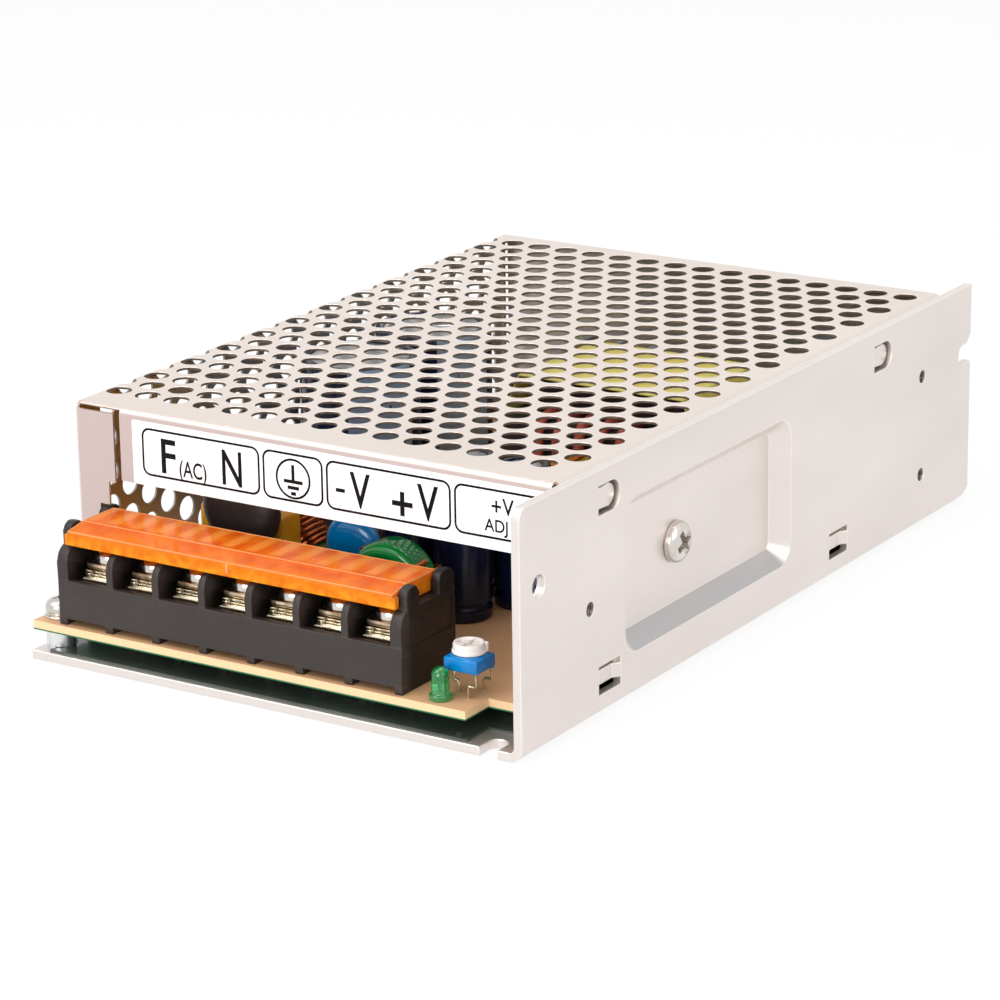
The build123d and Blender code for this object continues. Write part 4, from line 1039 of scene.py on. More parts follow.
class PSU_OT_label(bpy.types.Operator):
    """Stick the label with the functions of the terminals on the cover's front flange"""

    bl_idname = "supply.label"
    bl_label = "Terminal label"

    def execute(self, context):
        weight = context.scene.supply_sizes.line_weight
        paper = finish("label_film", paint(250, 250, 250), paint(242, 242, 243), rough=(0.3, 0.36),
                       scale=40.0, fine=20.0, bump=0.04, edge=0.0, coat=0.2)
        ink = finish("label_ink", paint(5, 4, 4), paint(14, 13, 13), rough=(0.4, 0.5), scale=200.0,
                     fine=8.0, bump=0.05, edge=0.0, shine=0.15)
        face = span("mesh_cover")[0].y
        front = face - Label.thick
        bm = bmesh.new()
        outline = rounded_outline(*Label.outline, 0.4, 3)
        near = [bm.verts.new(spot(x, front, z)) for x, z in outline]
        far = [bm.verts.new(spot(x, face, z)) for x, z in outline]
        bm.faces.new(near)
        bm.faces.new(far)
        for i in range(len(outline)):
            after = (i + 1) % len(outline)
            bm.faces.new([near[i], near[after], far[after], far[i]])
        printed = front - Label.ink
        for left, right in Label.frames:
            frame_line = rounded_outline(left, right, Label.frame_low, Label.frame_high, Label.frame_corner)
            add_loop_line(bm, frame_line, weight, printed)
        circle = arc_points(Label.earth_middle, Label.earth_radius, 0, 360, 40)[:-1]
        add_loop_line(bm, circle, weight, printed)
        for start, end in Label.earth_bars:
            add_loop_line(bm, [start, end], weight * 1.5, printed, closed=False)
        for body, left, right, low, high in Label.words:
            box = (left + Label.shift, right + Label.shift, low - Label.drop, high - Label.drop)
            add_printed(bm, *lettering(body, *box), printed)
        bmesh.ops.remove_doubles(bm, verts=bm.verts[:], dist=1e-7)
        built("terminal_label", bm, [paper, ink])
        return {"FINISHED"}


# Chassis and the plain carried-over solids


class PSU_OT_chassis(bpy.types.Operator):
    """Finish the chassis in satin aluminium, with painted shade on the recess's lower slope"""

    bl_idname = "supply.chassis"
    bl_label = "Chassis"
    recess_slope = (0.743, 0.0, 0.669)

    def execute(self, context):
        sheet = aluminium()
        # The recess's lower slope is painted grey: painted shade that stands for a dark reflection.
        paint_shade_by_slope(sheet, self.recess_slope, paint(184, 182, 182))
        dress(sheet, "chassis")
        return {"FINISHED"}


class Threads:
    """Tapped holes of the case and its hooks, in millimetres."""

    side = ((21.0, 19.5), (139.0, 10.2), (139.0, 29.0))
    base = (21.0, 139.0)
    spread = 50.0
    outer = 1.32
    root = 1.24
    crest = 1.02
    start = 0.25
    deep = 2.4
    turns = 5
    hook_height = 36.8
    hook_turn = 0.9
    hook_front = -3.4


class Stack:
    """Washers and screw that hold the board on a standoff, in millimetres."""

    washer = ((1.6, 0.0), (2.6, 0.0), (2.7, 0.1), (2.7, 0.3), (2.6, 0.4), (1.6, 0.4))
    spring = ((1.6, 0.42), (2.3, 0.42), (2.4, 0.5), (2.4, 0.86), (2.3, 0.95), (1.6, 0.95))
    seat = 1.0
    head = 2.5
    head_height = 2.2
    shank = 1.25
    length = 6.4

class PSU_OT_fasteners(bpy.types.Operator):
    """Form the board's screws and washers, its standoffs and the threads in the case"""

    bl_idname = "supply.fasteners"
    bl_label = "Fasteners"

    def execute(self, context):
        low, high = span("board_washers")
        bm = bmesh.new()
        for number, (x, y) in enumerate(board_screw_places()):
            add_ring(bm, Stack.washer, (x, y, low.z))
            add_ring(bm, Stack.spring, (x, y, low.z))
            add_screw(bm, (x, y, low.z + Stack.seat), "Z", Stack.head, Stack.head_height, Stack.shank,
                      Stack.length, turn=0.4 + number)
        built("board_screw_stacks", bm, bright_steel(), ["board_screws", "board_washers"])
        low, high = span("cover_screws")
        bm = bmesh.new()
        radius, height = (high.z - low.z) / 2, (low.z + high.z) / 2
        for middle in Cover.screw_middles:
            add_flush_screw(bm, (low.x, middle, height), radius, Cover.screw_shank, high.x - low.x)
        built("flush_cover_screws", bm, bright_steel(), ["cover_screws"])
        dress(drawn_steel(), "standoffs")
        self.threads()
        self.hooks()
        return {"FINISHED"}

    def threads(self):
        """Threads in the tapped holes of the side panel and the base."""
        bm = bmesh.new()
        low, high = span("chassis")
        middle = (low.x + high.x) / 2
        places = [("X", (high.x, depth, height), -1) for depth, height in Threads.side]
        places += [("Z", (middle + half, depth, 0.0), 1) for depth in Threads.base
                   for half in (-Threads.spread / 2, Threads.spread / 2)]
        for axis, place, way in places:
            section = [(Threads.outer, way * Threads.deep), (Threads.outer, way * Threads.start)]
            for turn in range(Threads.turns):
                along = Threads.start + turn * (Threads.deep - Threads.start) / Threads.turns
                section += [(Threads.root, way * along), (Threads.crest, way * (along + 0.2))]
            section.append((Threads.root, way * Threads.deep))
            add_ring(bm, section, place, 28, 0, axis)
        # The thread metal is painted darker than the chassis: painted shade inside the tapped holes.
        cut_metal = finish("cut_thread", paint(132, 122, 114), paint(74, 66, 60), rough=(0.2, 0.3),
                           metallic=1.0, scale=300.0, bump=0.2, edge=0.0)
        built("tapped_threads", bm, cut_metal, angle=20)

    def hooks(self):
        """Tongues of the lanced hooks, each before the shade of its slit."""
        side = span("chassis")[1].x
        dark = finish("slit_shade", paint(34, 30, 28), paint(24, 21, 20), rough=(0.5, 0.6), scale=120.0,
                      bump=0.1, edge=0.0)
        slit = {"reach": 2.42, "outer": 2.16, "inner": 2.06, "front": 0.05, "index": 1, "bevel": 0.0}
        tongue = {"reach": 1.95, "outer": 2.08, "inner": 0.7, "front": 1.1, "index": 0, "bevel": 0.3}
        bm = bmesh.new()
        for middle in Cover.hook_middles:
            for form in (slit, tongue):
                start, reach = middle + Threads.hook_front + form["front"], form["reach"]
                outline = [(start, Threads.hook_height + reach), (start, Threads.hook_height - reach)]
                outline += arc_points((middle + Threads.hook_turn, Threads.hook_height), reach, -90, 90, 12)
                add_slab(bm, outline, side - form["outer"], side - form["inner"], "X", form["index"],
                         form["bevel"], 3)
        built("hook_tongues", bm, [aluminium(), dark])


def board_finish():
    """Tan paper laminate, cream at its sawn edge, with a green underside."""
    top = colours().board[:]
    material = finish("board_laminate", top, shade(top, 0.86), rough=(0.38, 0.5), scale=70.0, fine=16.0,
                      bump=0.12, edge=0.0)
    tree = material.node_tree
    body, tone = base_colour(material)
    normal = add_node(tree, "ShaderNodeNewGeometry").outputs["Normal"]
    upward = add_node(tree, "ShaderNodeSeparateXYZ", {"Vector": normal}).outputs["Z"]
    up = add_node(tree, "ShaderNodeMath", {0: upward, 1: 0.5}, "GREATER_THAN")
    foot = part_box("circuit_board")[0].z
    rise = placed_group(tree, "rise", Low=foot + 0.22 * MM, High=foot + 0.3 * MM)
    edge = mixed(tree, rise.outputs["Rise"], paint(16, 104, 66), paint(232, 196, 152))
    set_inputs(tree, body, {"Base Color": mixed(tree, up.outputs["Value"], edge, tone)})
    return material


class PSU_OT_board(bpy.types.Operator):
    """Finish the circuit board, its solder and the film under it"""

    bl_idname = "supply.board"
    bl_label = "Circuit board"

    def execute(self, context):
        dress(board_finish(), "circuit_board")
        film = finish("insulating_film", paint(60, 66, 60), paint(84, 90, 84), rough=(0.1, 0.24), scale=60.0,
                      fine=6.0, bump=0.1, edge=0.0, coat=0.4)
        dress(film, "insulating_film")
        self.solder()
        return {"FINISHED"}

    def solder(self):
        """Cones of solder under the front leads."""
        left, right = span("terminal_block")[0].x, span("trimmer_body")
        board = span("circuit_board")[0].z
        places = [(middle, 14.4) for middle in pole_middles(left)]
        places += [(middle, 4.6) for middle in pole_middles(left)]
        places += [(right[0].x + 1.5, right[0].y + 2.2), (right[1].x - 2.0, right[0].y + 0.5)]
        bm = bmesh.new()
        for x, y in places:
            add_turned(bm, [(0.0, 0.2), (1.35, 0.2), (1.3, -0.1), (0.8, -0.45), (0.4, -1.3), (0.0, -1.5)],
                       (x, y, board), "Z", 16)
        built("solder_cones", bm, drawn_steel())


# Terminal block, its metal and its lid


class Block:
    """Sizes of the terminal block, in millimetres."""

    poles = 7
    pitch = 9.5
    room = 8.1
    partition = 1.4
    end_wall = 2.2
    foot_height = 1.2
    foot_width = 1.5
    floor = 14.2
    front_wall = 1.2
    front_wall_top = 14.8
    partition_top = 20.7
    shoulder = 2.8
    rear_wall = 1.4
    rear_wall_top = 19.6
    post = 1.6
    post_front = 3.0
    post_length = 3.6
    post_top = 24.2
    hinge_depth = 15.2
    hinge_height = 21.8
    screw_depth = 8.0
    corner = 0.22


def pole_middles(left):
    """Middle of each pole, counted from the case's left face."""
    first = left + Block.end_wall + Block.room / 2
    return [first + pole * Block.pitch for pole in range(Block.poles)]


def arc_points(middle, radius, start, end, steps=6):
    """Points along an arc, angles in degrees."""
    return [
        (middle[0] + radius * cos(radians(start + (end - start) * k / steps)),
         middle[1] + radius * sin(radians(start + (end - start) * k / steps)))
        for k in range(steps + 1)
    ]


class PSU_OT_terminal_block(bpy.types.Operator):
    """Mould the terminal block with its partitions, posts and feet"""

    bl_idname = "supply.terminal_block"
    bl_label = "Terminal block"

    def execute(self, context):
        low, high = span("terminal_block")
        bm = bmesh.new()
        bottom = low.z + Block.foot_height
        rear = high.y - Block.rear_wall
        body = [
            (low.y, bottom), (low.y, Block.front_wall_top), (low.y + Block.front_wall, Block.front_wall_top),
            (low.y + Block.front_wall, Block.floor), (rear, Block.floor), (rear, Block.rear_wall_top),
            (high.y, Block.rear_wall_top), (high.y, bottom),
        ]
        add_slab(bm, body, low.x, high.x, "X", 0, Block.corner)
        inset = 0.04
        for foot in range(Block.poles + 1):
            left = low.x + inset + foot * (high.x - low.x - Block.foot_width - 2 * inset) / Block.poles
            add_block(bm, (left, low.y + inset, low.z),
                      (left + Block.foot_width, high.y - inset, bottom + 0.3), 0.12)
        self.partitions(bm, low, high)
        self.posts(bm, low, high)
        add_block(bm, (low.x - 0.35, low.y + 0.7, 12.6), (low.x + 0.3, low.y + 1.7, 13.7), 0.3, 3)
        moulding = black_moulding("block_moulding")
        near = low.y + Block.front_wall
        paint_light_and_shade_along(moulding, -spot(0, near + 2.0, 0).y, -spot(0, near + 0.3, 0).y, paint(20, 16, 14),
                   (0.0, -1.0, 0.0), "shaded behind")
        built("moulded_terminal_block", bm, moulding, ["terminal_block"], angle=40)
        return {"FINISHED"}

    def partitions(self, bm, low, high):
        """Walls between the poles and at both ends, rounded at the front."""
        walls = [(low.x, Block.end_wall), (high.x - Block.end_wall, Block.end_wall)]
        walls += [(middle + Block.room / 2, Block.partition) for middle in pole_middles(low.x)[:-1]]
        top, front, back = Block.partition_top, low.y + 0.03, high.y - Block.rear_wall / 2
        turn = (front + Block.shoulder, top - Block.shoulder)
        outline = [(back, Block.floor - 1), (front, Block.floor - 1)]
        outline += arc_points(turn, Block.shoulder, 180, 90, 8)
        outline.append((back, top))
        for left, thick in walls:
            add_slab(bm, outline, left + 0.03, left + thick - 0.03, "X", 0, Block.corner)

    def posts(self, bm, low, high):
        """Stop posts at the front and hinge posts at the rear, with a boss round each pin."""
        inset, top = 0.08, Block.post_top
        front, rear = Block.post_front, Block.hinge_depth - 2.7
        posts = ((front, front + Block.post_length, 1.3), (rear, high.y - inset, 1.5))
        for left in (low.x + inset, high.x - Block.post - inset):
            for start, end, radius in posts:
                outline = [(end, Block.floor + 1), (start, Block.floor + 1)]
                outline += arc_points((start + radius, top - radius), radius, 180, 90)
                outline += arc_points((end - radius, top - radius), radius, 90, 0)
                add_slab(bm, outline, left, left + Block.post, "X", 0, 0.3)
        for face in (low.x + inset, high.x - inset):
            add_ring(bm, [(0.8, -0.06), (0.95, 0.07), (1.25, 0.07), (1.35, -0.06)],
                     (face, Block.hinge_depth, Block.hinge_height), 24, 0, "X")


class PSU_OT_terminal_metal(bpy.types.Operator):
    """Form the ribbed contact strips, the toothed clamp plates and their screws"""

    bl_idname = "supply.terminal_metal"
    bl_label = "Terminal metal"

    def execute(self, context):
        middles = pole_middles(span("terminal_block")[0].x)
        strip_low, strip_high = span("contact_strip_1")
        strips, clamps = bmesh.new(), bmesh.new()
        for middle in middles:
            self.strip(strips, middle, strip_high, strip_low.z)
            self.clamp(clamps, middle, span("clamp_plates")[0].z)
        built("ribbed_contact_strips", strips, bright_plate(),
              [f"contact_strip_{pole + 1}" for pole in range(Block.poles)])
        built("toothed_clamp_plates", clamps, bright_plate(), ["clamp_plates"])
        heads = bmesh.new()
        seat = span("clamp_plates")[1].z
        for number, middle in enumerate(middles):
            add_screw(heads, (middle, Block.screw_depth, seat), "Z", 2.9, 2.2, 1.45, 7.2, 0.5 + number * 0.7)
        built("terminal_pan_screws", heads, domed_steel(), ["terminal_screws"])
        return {"FINISHED"}

    def strip(self, bm, middle, high, foot):
        """Contact strip of one pole, ribbed where the wire lies, with its pin at the rear."""
        floor = Block.floor + 0.02
        outline = [
            (middle - 3.45, 5.6), (middle - 2.6, 5.2), (middle - 2.6, 3.2), (middle + 2.6, 3.2),
            (middle + 2.6, 5.2), (middle + 3.45, 5.6), (middle + 3.45, high.y), (middle - 3.45, high.y),
        ]
        add_slab(bm, outline, floor, high.z - 0.1, "Z", 0, 0.14)
        first, pitch, half = 3.7, 0.85, 0.22
        for rib in range(3):
            depth = first + rib * pitch
            add_block(bm, (middle - 2.4, depth - half, high.z - 0.3),
                      (middle + 2.4, depth + half, high.z + 0.2), 0.16)
        add_block(bm, (middle - 0.8, high.y - 1.0, foot), (middle + 0.8, high.y, floor + 0.3), 0.1, 1)

    def clamp(self, bm, middle, low):
        """Clamp plate of one pole over its two toothed washers."""
        plate = [
            (middle - 3.3, 5.2), (middle - 2.7, 4.7), (middle + 2.7, 4.7), (middle + 3.3, 5.2),
            (middle + 3.3, 10.8), (middle + 2.7, 11.3), (middle - 2.7, 11.3), (middle - 3.3, 10.8),
        ]
        add_slab(bm, plate, low, low + 0.98, "Z", 0, 0.18)
        for half, front, bottom in ((3.05, 4.25, low - 0.42), (2.9, 3.95, low - 0.84)):
            steps = [(middle - half, 11.0), (middle - half, front + 0.5)]
            for notch in range(6):
                left = middle - half + 0.25 + notch * (2 * half - 0.5) / 6
                steps += [(left, front + 0.12 * (notch % 2)), (left + 0.7, front + 0.12 * (notch % 2))]
            steps += [(middle + half, front + 0.5), (middle + half, 11.0)]
            add_slab(bm, steps, bottom, bottom + 0.3, "Z", 0, 0.08)


class Lid:
    """Places of the clear lid's painted light and shade and of its raised lines, in millimetres."""

    lip = (23.2, 22.9)
    painted_amber_light = (21.2, 23.8)
    shaded = (6.4, 7.6)
    end_inset = 1.7
    lines = ((1.85, 23.28), (6.0, 23.98), (14.15, 23.96))
    gate = 40.4
    gate_path = ((1.86, 21.5), (1.72, 21.9), (1.72, 22.6), (1.86, 23.1))


def clear_orange():
    """Clear tinted lid, with painted yellow light towards its lip, painted highlights on its edges, painted
    light of the rooms seen through it as bands, and painted light and shade of the parts seen through its
    lip as spots.
    """
    material = finish("clear_orange", colours().lid[:], paint(232, 96, 24), rough=(0.08, 0.14), scale=260.0,
                      fine=3.0, bump=0.06, depth=0.00003, edge=0.0005, rim=paint(255, 196, 128),
                      see_through=0.32, density=1.3, shine=0.1)
    tree = material.node_tree
    body, tone = base_colour(material)
    # Spots on the lip: painted light and shade of the parts seen through it.
    spots = placed_group(tree, "grain", Scale=620.0)
    lip = placed_group(tree, "rise", Low=Lid.lip[0] * MM, High=Lid.lip[1] * MM)
    seen = product(tree, spots.outputs["Tone"], lip.outputs["Rise"])
    # Lighter bands over the rooms behind the front: painted light of the rooms seen through the lid.
    first = pole_middles(span("terminal_block")[0].x)[0]
    bands = placed_group(tree, "bands", Pitch=Block.pitch / 2 * MM, Start=spot(first, 0, 0).x)
    behind = placed_group(tree, "rise", Direction=(0.0, 1.0, 0.0), Low=spot(0, Lid.shaded[0], 0).y,
                          High=spot(0, Lid.shaded[1], 0).y)
    share = product(tree, bands.outputs["Band"], behind.outputs["Rise"])
    set_inputs(tree, body, {"Base Color": mixed(tree, share, tone, paint(255, 152, 62))})
    # Yellower towards the lip: painted light that shines through the lip.
    paint_light_and_shade_along(material, Lid.painted_amber_light[0] * MM, Lid.painted_amber_light[1] * MM, paint(255, 174, 40))
    tone = base_colour(material)[1]
    set_inputs(tree, body, {"Base Color": mixed(tree, seen, tone, paint(236, 122, 18))})
    return material


class PSU_OT_lid(bpy.types.Operator):
    """Finish the hinged clear lid and lay pale beads on its folds, painted highlights of the folds"""

    bl_idname = "supply.lid"
    bl_label = "Clear lid"

    def execute(self, context):
        dress(clear_orange(), "terminal_cover")
        # Pale orange beads along the lid's folds and on its gate: painted highlights of the folds.
        pale = finish("lid_painted_highlight", paint(255, 176, 104), paint(255, 160, 84), rough=(0.1, 0.16), scale=80.0,
                      bump=0.05, edge=0.0, see_through=0.3, density=1.49)
        low, high = span("terminal_cover")
        left, right = low.x + Lid.end_inset, high.x - Lid.end_inset
        bm = bmesh.new()
        front, middle, rear = Lid.lines
        for y, z in (middle, rear, front):
            add_bar(bm, [(left, y, z), (right, y, z)], 0.13)
        for x in (left, right):
            add_bar(bm, [(x, y, z) for y, z in Lid.lines], 0.12)
        add_bar(bm, [(Lid.gate, y, z) for y, z in Lid.gate_path], 0.28)
        built("lid_bead", bm, pale, body="terminal_cover")
        return {"FINISHED"}


# Trimmer and lamp


class PSU_OT_trimmer(bpy.types.Operator):
    """Form the output voltage trimmer: case, dial and bent pins"""

    bl_idname = "supply.trimmer"
    bl_label = "Trimmer"

    def execute(self, context):
        # Both finishes have painted highlights on their edges.
        blue = finish("trimmer_blue", paint(0, 124, 196), paint(0, 100, 172), rough=(0.24, 0.32),
                      scale=120.0, bump=0.1, edge=0.0002, rim=paint(60, 160, 220))
        white = finish("trimmer_white", paint(238, 230, 226), paint(220, 212, 206), rough=(0.35, 0.45),
                       scale=150.0, bump=0.1, edge=0.0002, rim=1.15)
        low, high = span("trimmer_body")
        middle = ((low.x + high.x) / 2, (low.y + high.y) / 2)
        bm = bmesh.new()
        add_block(bm, low, (high.x, high.y, high.z - 0.35), 0.35, 3)
        add_turned(bm, [(0.0, -0.8), (2.75, -0.8), (2.95, -0.5), (2.95, -0.1), (2.85, 0.0), (0.0, 0.0)],
                   (*middle, high.z), "Z", 40)
        for x in (low.x + 0.15, high.x - 1.05):
            add_block(bm, (x, high.y - 0.9, low.z - 0.3), (x + 0.9, high.y - 0.1, low.z + 0.5), 0.15)
        built("trimmer_case", bm, blue, ["trimmer_body"])
        dial_low, dial_high = span("trimmer_knob")
        base = high.z + 0.1
        tall = dial_high.z - base
        dial, tool = bmesh.new(), bmesh.new()
        add_turned(dial, [
            (0.0, -1.3), (0.75, -1.3), (0.75, 0.0), (2.7, 0.0), (2.8, 0.1), (2.8, 0.45), (2.62, 0.55),
            (2.62, tall - 0.3), (2.5, tall), (2.15, tall), (1.95, tall - 0.25), (0.0, tall - 0.25),
        ], (*middle, base), "Z", 48)
        for across, along in ((0.42, 2.15), (2.0, 0.42)):
            add_block(tool, (middle[0] - across, middle[1] - along, base + tall - 0.95),
                      (middle[0] + across, middle[1] + along, base + tall + 1))
        dial = carved(dial, tool)
        add_block(dial, (middle[0] + 2.0, middle[1] + 1.2, base),
                  (middle[0] + 2.65, middle[1] + 1.75, base + tall), 0.12)
        built("trimmer_dial", dial, white, ["trimmer_knob"], body="trimmer_knob")
        pins = bmesh.new()
        board = span("circuit_board")[1].z
        for x, y, shift in ((high.x - 0.5, low.y + 0.5, -1.5), (high.x - 0.4, high.y - 0.6, -1.5),
                            (low.x + 0.7, low.y + 2.2, 0.8)):
            bend = board + 2.0
            path = [(0.0, low.z + 0.4), (0.0, bend + 0.25), (0.12, bend), (0.88, bend - 0.05),
                    (1.0, bend - 0.3), (1.0, board)]
            add_bar(pins, [(x + shift * share, y, z) for share, z in path], 0.27)
        built("bent_trimmer_pins", pins, bright_plate(), ["trimmer_pins"])
        return {"FINISHED"}


class PSU_OT_lamp(bpy.types.Operator):
    """Form the green status lamp with its flange and the frame inside its dome"""

    bl_idname = "supply.lamp"
    bl_label = "Status lamp"

    def execute(self, context):
        lens = finish("green_lens", paint(24, 196, 96), paint(14, 164, 76), rough=(0.03, 0.07), scale=60.0,
                      bump=0.04, edge=0.0, rim=1.0, see_through=0.8, density=1.5, coat=0.6)
        low, high = span("status_led")
        # The lower part of the lens is painted a paler green: painted light in the lens.
        paint_light_and_shade_along(lens, (low.z + 1.4) * MM, (low.z + 3.6) * MM, paint(84, 214, 128))
        middle = ((low.x + high.x) / 2, (low.y + high.y) / 2)
        tall = high.z - low.z
        dome = [(0.0, 0.0), (1.8, 0.0), (1.9, 0.12), (1.9, 0.8), (1.78, 0.98), (1.55, 1.05), (1.5, 1.2)]
        dome += [(1.5 * cos(radians(a)), tall - 1.5 + 1.5 * sin(radians(a))) for a in range(0, 90, 10)]
        dome.append((0.0, tall))
        bm = bmesh.new()
        add_turned(bm, dome, (*middle, low.z), "Z", 36)
        built("status_lamp_dome", bm, lens, ["status_led"])
        bm = bmesh.new()
        for side, top, width in ((-1, 2.5, 0.55), (1, 2.9, 0.3)):
            x = middle[0] + side * 0.5
            add_block(bm, (x - width, middle[1] - 0.2, low.z + 0.3),
                      (x + width * 0.5, middle[1] + 0.2, low.z + top), 0.08)
        built("status_lamp_frame", bm, bright_steel())
        return {"FINISHED"}


# Parts on the board


def can_sleeve():
    """Shrunk film round the cans."""
    return finish("sleeve_film", colours().sleeve[:], shade(colours().sleeve[:], 0.7), rough=(0.14, 0.24),
                  scale=60.0, bump=0.08, edge=0.0)


def can_metal():
    """Bare aluminium of the cans' tops."""
    return finish("can_metal", paint(214, 214, 216), paint(192, 192, 196), rough=(0.24, 0.36), metallic=0.95,
                  scale=120.0, bump=0.12, edge=0.0)


def can_stripe():
    """Paler stripe on the minus side of the sleeve."""
    return finish("sleeve_stripe", paint(150, 168, 196), paint(132, 150, 182), rough=(0.2, 0.3), scale=60.0,
                  bump=0.08, edge=0.0)


def add_can(bm, place, base, radius, height, stripe, groove=0.0):
    """Capacitor can in its shrunk sleeve: groove, stripe with minus marks, bare top with vents."""
    points = 48
    profile = [(0.0, 0.0), (radius - 0.5, 0.0), (radius - 0.1, 0.2), (radius, 0.6)]
    if groove:
        middle = 2.6
        for k in range(7):
            turn = pi * k / 6
            profile.append((radius - groove * sin(turn), middle - groove * 1.3 * cos(turn)))
    top = height - 0.7
    profile += [(radius, top - 0.4)]
    profile += arc_points((radius - 0.9, top - 0.4), 0.9, 30, 90, 2)
    rim = min(radius * 0.3, 1.8)
    profile += [(radius - rim, top + 0.5), (radius - rim - 0.25, top + 0.2)]
    sleeve_end = len(profile)
    profile += [(0.0, top + 0.2)]
    before = len(bm.faces)
    add_turned(bm, profile, (*place, base), "Z", points)
    bm.faces.ensure_lookup_table()
    half = tau * 0.09
    middle = Vector(spot(*place, 0)).xy
    for face in bm.faces[before:]:
        away = face.calc_center_median().xy - middle
        if away.length < (radius - rim - 0.2) * MM and face.calc_center_median().z > spot(0, 0, base + 1).z:
            face.material_index = 1
        elif away.length > (radius - 0.6) * MM:
            turn = (atan2(away.y, away.x) - stripe + pi) % tau - pi
            if abs(turn) < half:
                face.material_index = 2
    vent = radius - rim - 0.8
    for turn in (0, 1, 2) if radius > 4 else (0, 1):
        angle = stripe + turn * pi / (3 if radius > 4 else 2)
        side = Vector((cos(angle), sin(angle)))
        add_bar(bm, [(place[0] - side.x * vent, place[1] - side.y * vent, base + top + 0.17),
                     (place[0] + side.x * vent, place[1] + side.y * vent, base + top + 0.17)], 0.14, 6, 1)
    count = int(height / 4.5)
    for mark in range(count):
        z = base + height * (mark + 0.75) / (count + 0.6) + 1.0
        out = radius + 0.02
        half_mark = 0.07 * tau / 2
        corners = []
        for turn, up in ((-1, -0.35), (1, -0.35), (1, 0.35), (-1, 0.35)):
            angle = stripe + turn * half_mark * 0.7
            corners.append(bm.verts.new(turned_spot((*place, z), "Z", out, angle, up)))
        bm.faces.new(corners)


def add_disc(bm, place, middle, radius, depth, foot):
    """Dipped disc that stands across the case, thick in the middle, on two coated leads."""
    half = depth / 2
    shares = ((0.0, 1.0), (0.45, 0.97), (0.72, 0.86), (0.88, 0.62), (0.97, 0.3), (1.0, 0.0))
    side = [(radius * out, -half * deep) for out, deep in shares]
    profile = side + [(r, -y) for r, y in reversed(side[:-1])]
    add_turned(bm, profile, (*place, middle), "Y", 40)
    rise = middle - foot
    lead = [(0.0, 0.0), (0.42, 0.0), (0.42, rise - radius * 0.8), (0.8, rise - radius * 0.72),
            (0.9, rise - radius * 0.5), (0.0, rise - radius * 0.4)]
    for lean in (-1, 1):
        add_turned(bm, lead, (place[0] + lean * radius / 2, place[1], foot), "Z", 12)


class PSU_OT_capacitors(bpy.types.Operator):
    """Form the capacitor cans, the dipped discs, the film capacitor and the thermistor"""

    bl_idname = "supply.capacitors"
    bl_label = "Capacitors"
    small_places = ((10.0, 140.0), (17.0, 140.0), (84.0, 125.0))

    def execute(self, context):
        board = span("circuit_board")[1].z
        cans = [can_sleeve(), can_metal(), can_stripe()]
        large = [(f"output_capacitor_{i + 1}", 1.3 + 1.5 * i) for i in range(4)]
        large += [("bulk_capacitor_1", -0.6), ("bulk_capacitor_2", -0.4)]
        for name, stripe in large:
            low, high = span(name)
            bm = bmesh.new()
            add_can(bm, ((low.x + high.x) / 2, (low.y + high.y) / 2), board, (high.x - low.x) / 2,
                    high.z - board, stripe, groove=0.5)
            built(name + "_can", bm, cans, [name])
        bm = bmesh.new()
        for place in self.small_places:
            add_can(bm, place, board, 2.5, 11.0, 1.2)
        built("small_cans", bm, cans, ["small_capacitors"])
        blue = finish("blue_epoxy", paint(0, 136, 204), paint(0, 108, 178), rough=(0.1, 0.2), scale=120.0,
                      bump=0.12, edge=0.0, coat=0.4)
        dark = finish("dark_epoxy", paint(46, 36, 34), paint(34, 26, 25), rough=(0.3, 0.42), scale=120.0,
                      bump=0.25, edge=0.0)
        for name, material, slot in (("disc_capacitor_1", blue, "blue_epoxy"),
                                     ("disc_capacitor_2", blue, "blue_epoxy"),
                                     ("thermistor", dark, "dark_epoxy")):
            low, high = span(name)
            radius = (high.x - low.x) / 2
            bm = bmesh.new()
            add_disc(bm, ((low.x + high.x) / 2, (low.y + high.y) / 2), high.z - radius, radius,
                     high.y - low.y, board)
            built(name + "_disc", bm, material, [name])
        self.film(board)
        return {"FINISHED"}

    def film(self, board):
        """Dipped film capacitor on its two leads."""
        mustard = finish("mustard_epoxy", paint(255, 196, 48), paint(246, 170, 30), rough=(0.1, 0.2),
                         scale=90.0, bump=0.12, edge=0.0, coat=0.5)
        low, high = span("film_capacitor")
        bm = bmesh.new()
        add_block(bm, (low.x, low.y, board + 2.0), high, 1.3, 4)
        for x in (low.x + 3.2, high.x - 3.2):
            add_turned(bm, [(0.0, 0.0), (0.4, 0.0), (0.4, 1.2), (0.9, 2.4), (0.0, 2.6)],
                       (x, (low.y + high.y) / 2, board), "Z", 12)
        built("dipped_film_capacitor", bm, mustard, ["film_capacitor"])


def add_ring_core(bm, middle, outer, inner, depth, rounding):
    """Coated ring core, its axis along the case, its edges well rounded."""
    half = depth / 2
    section = []
    for x, y, start in ((outer - rounding, half - rounding, 0), (inner + rounding, half - rounding, 90),
                        (inner + rounding, rounding - half, 180), (outer - rounding, rounding - half, 270)):
        section += arc_points((x, y), rounding, start, start + 90, 5)
    add_ring(bm, section, middle, 64, 0, "Y")


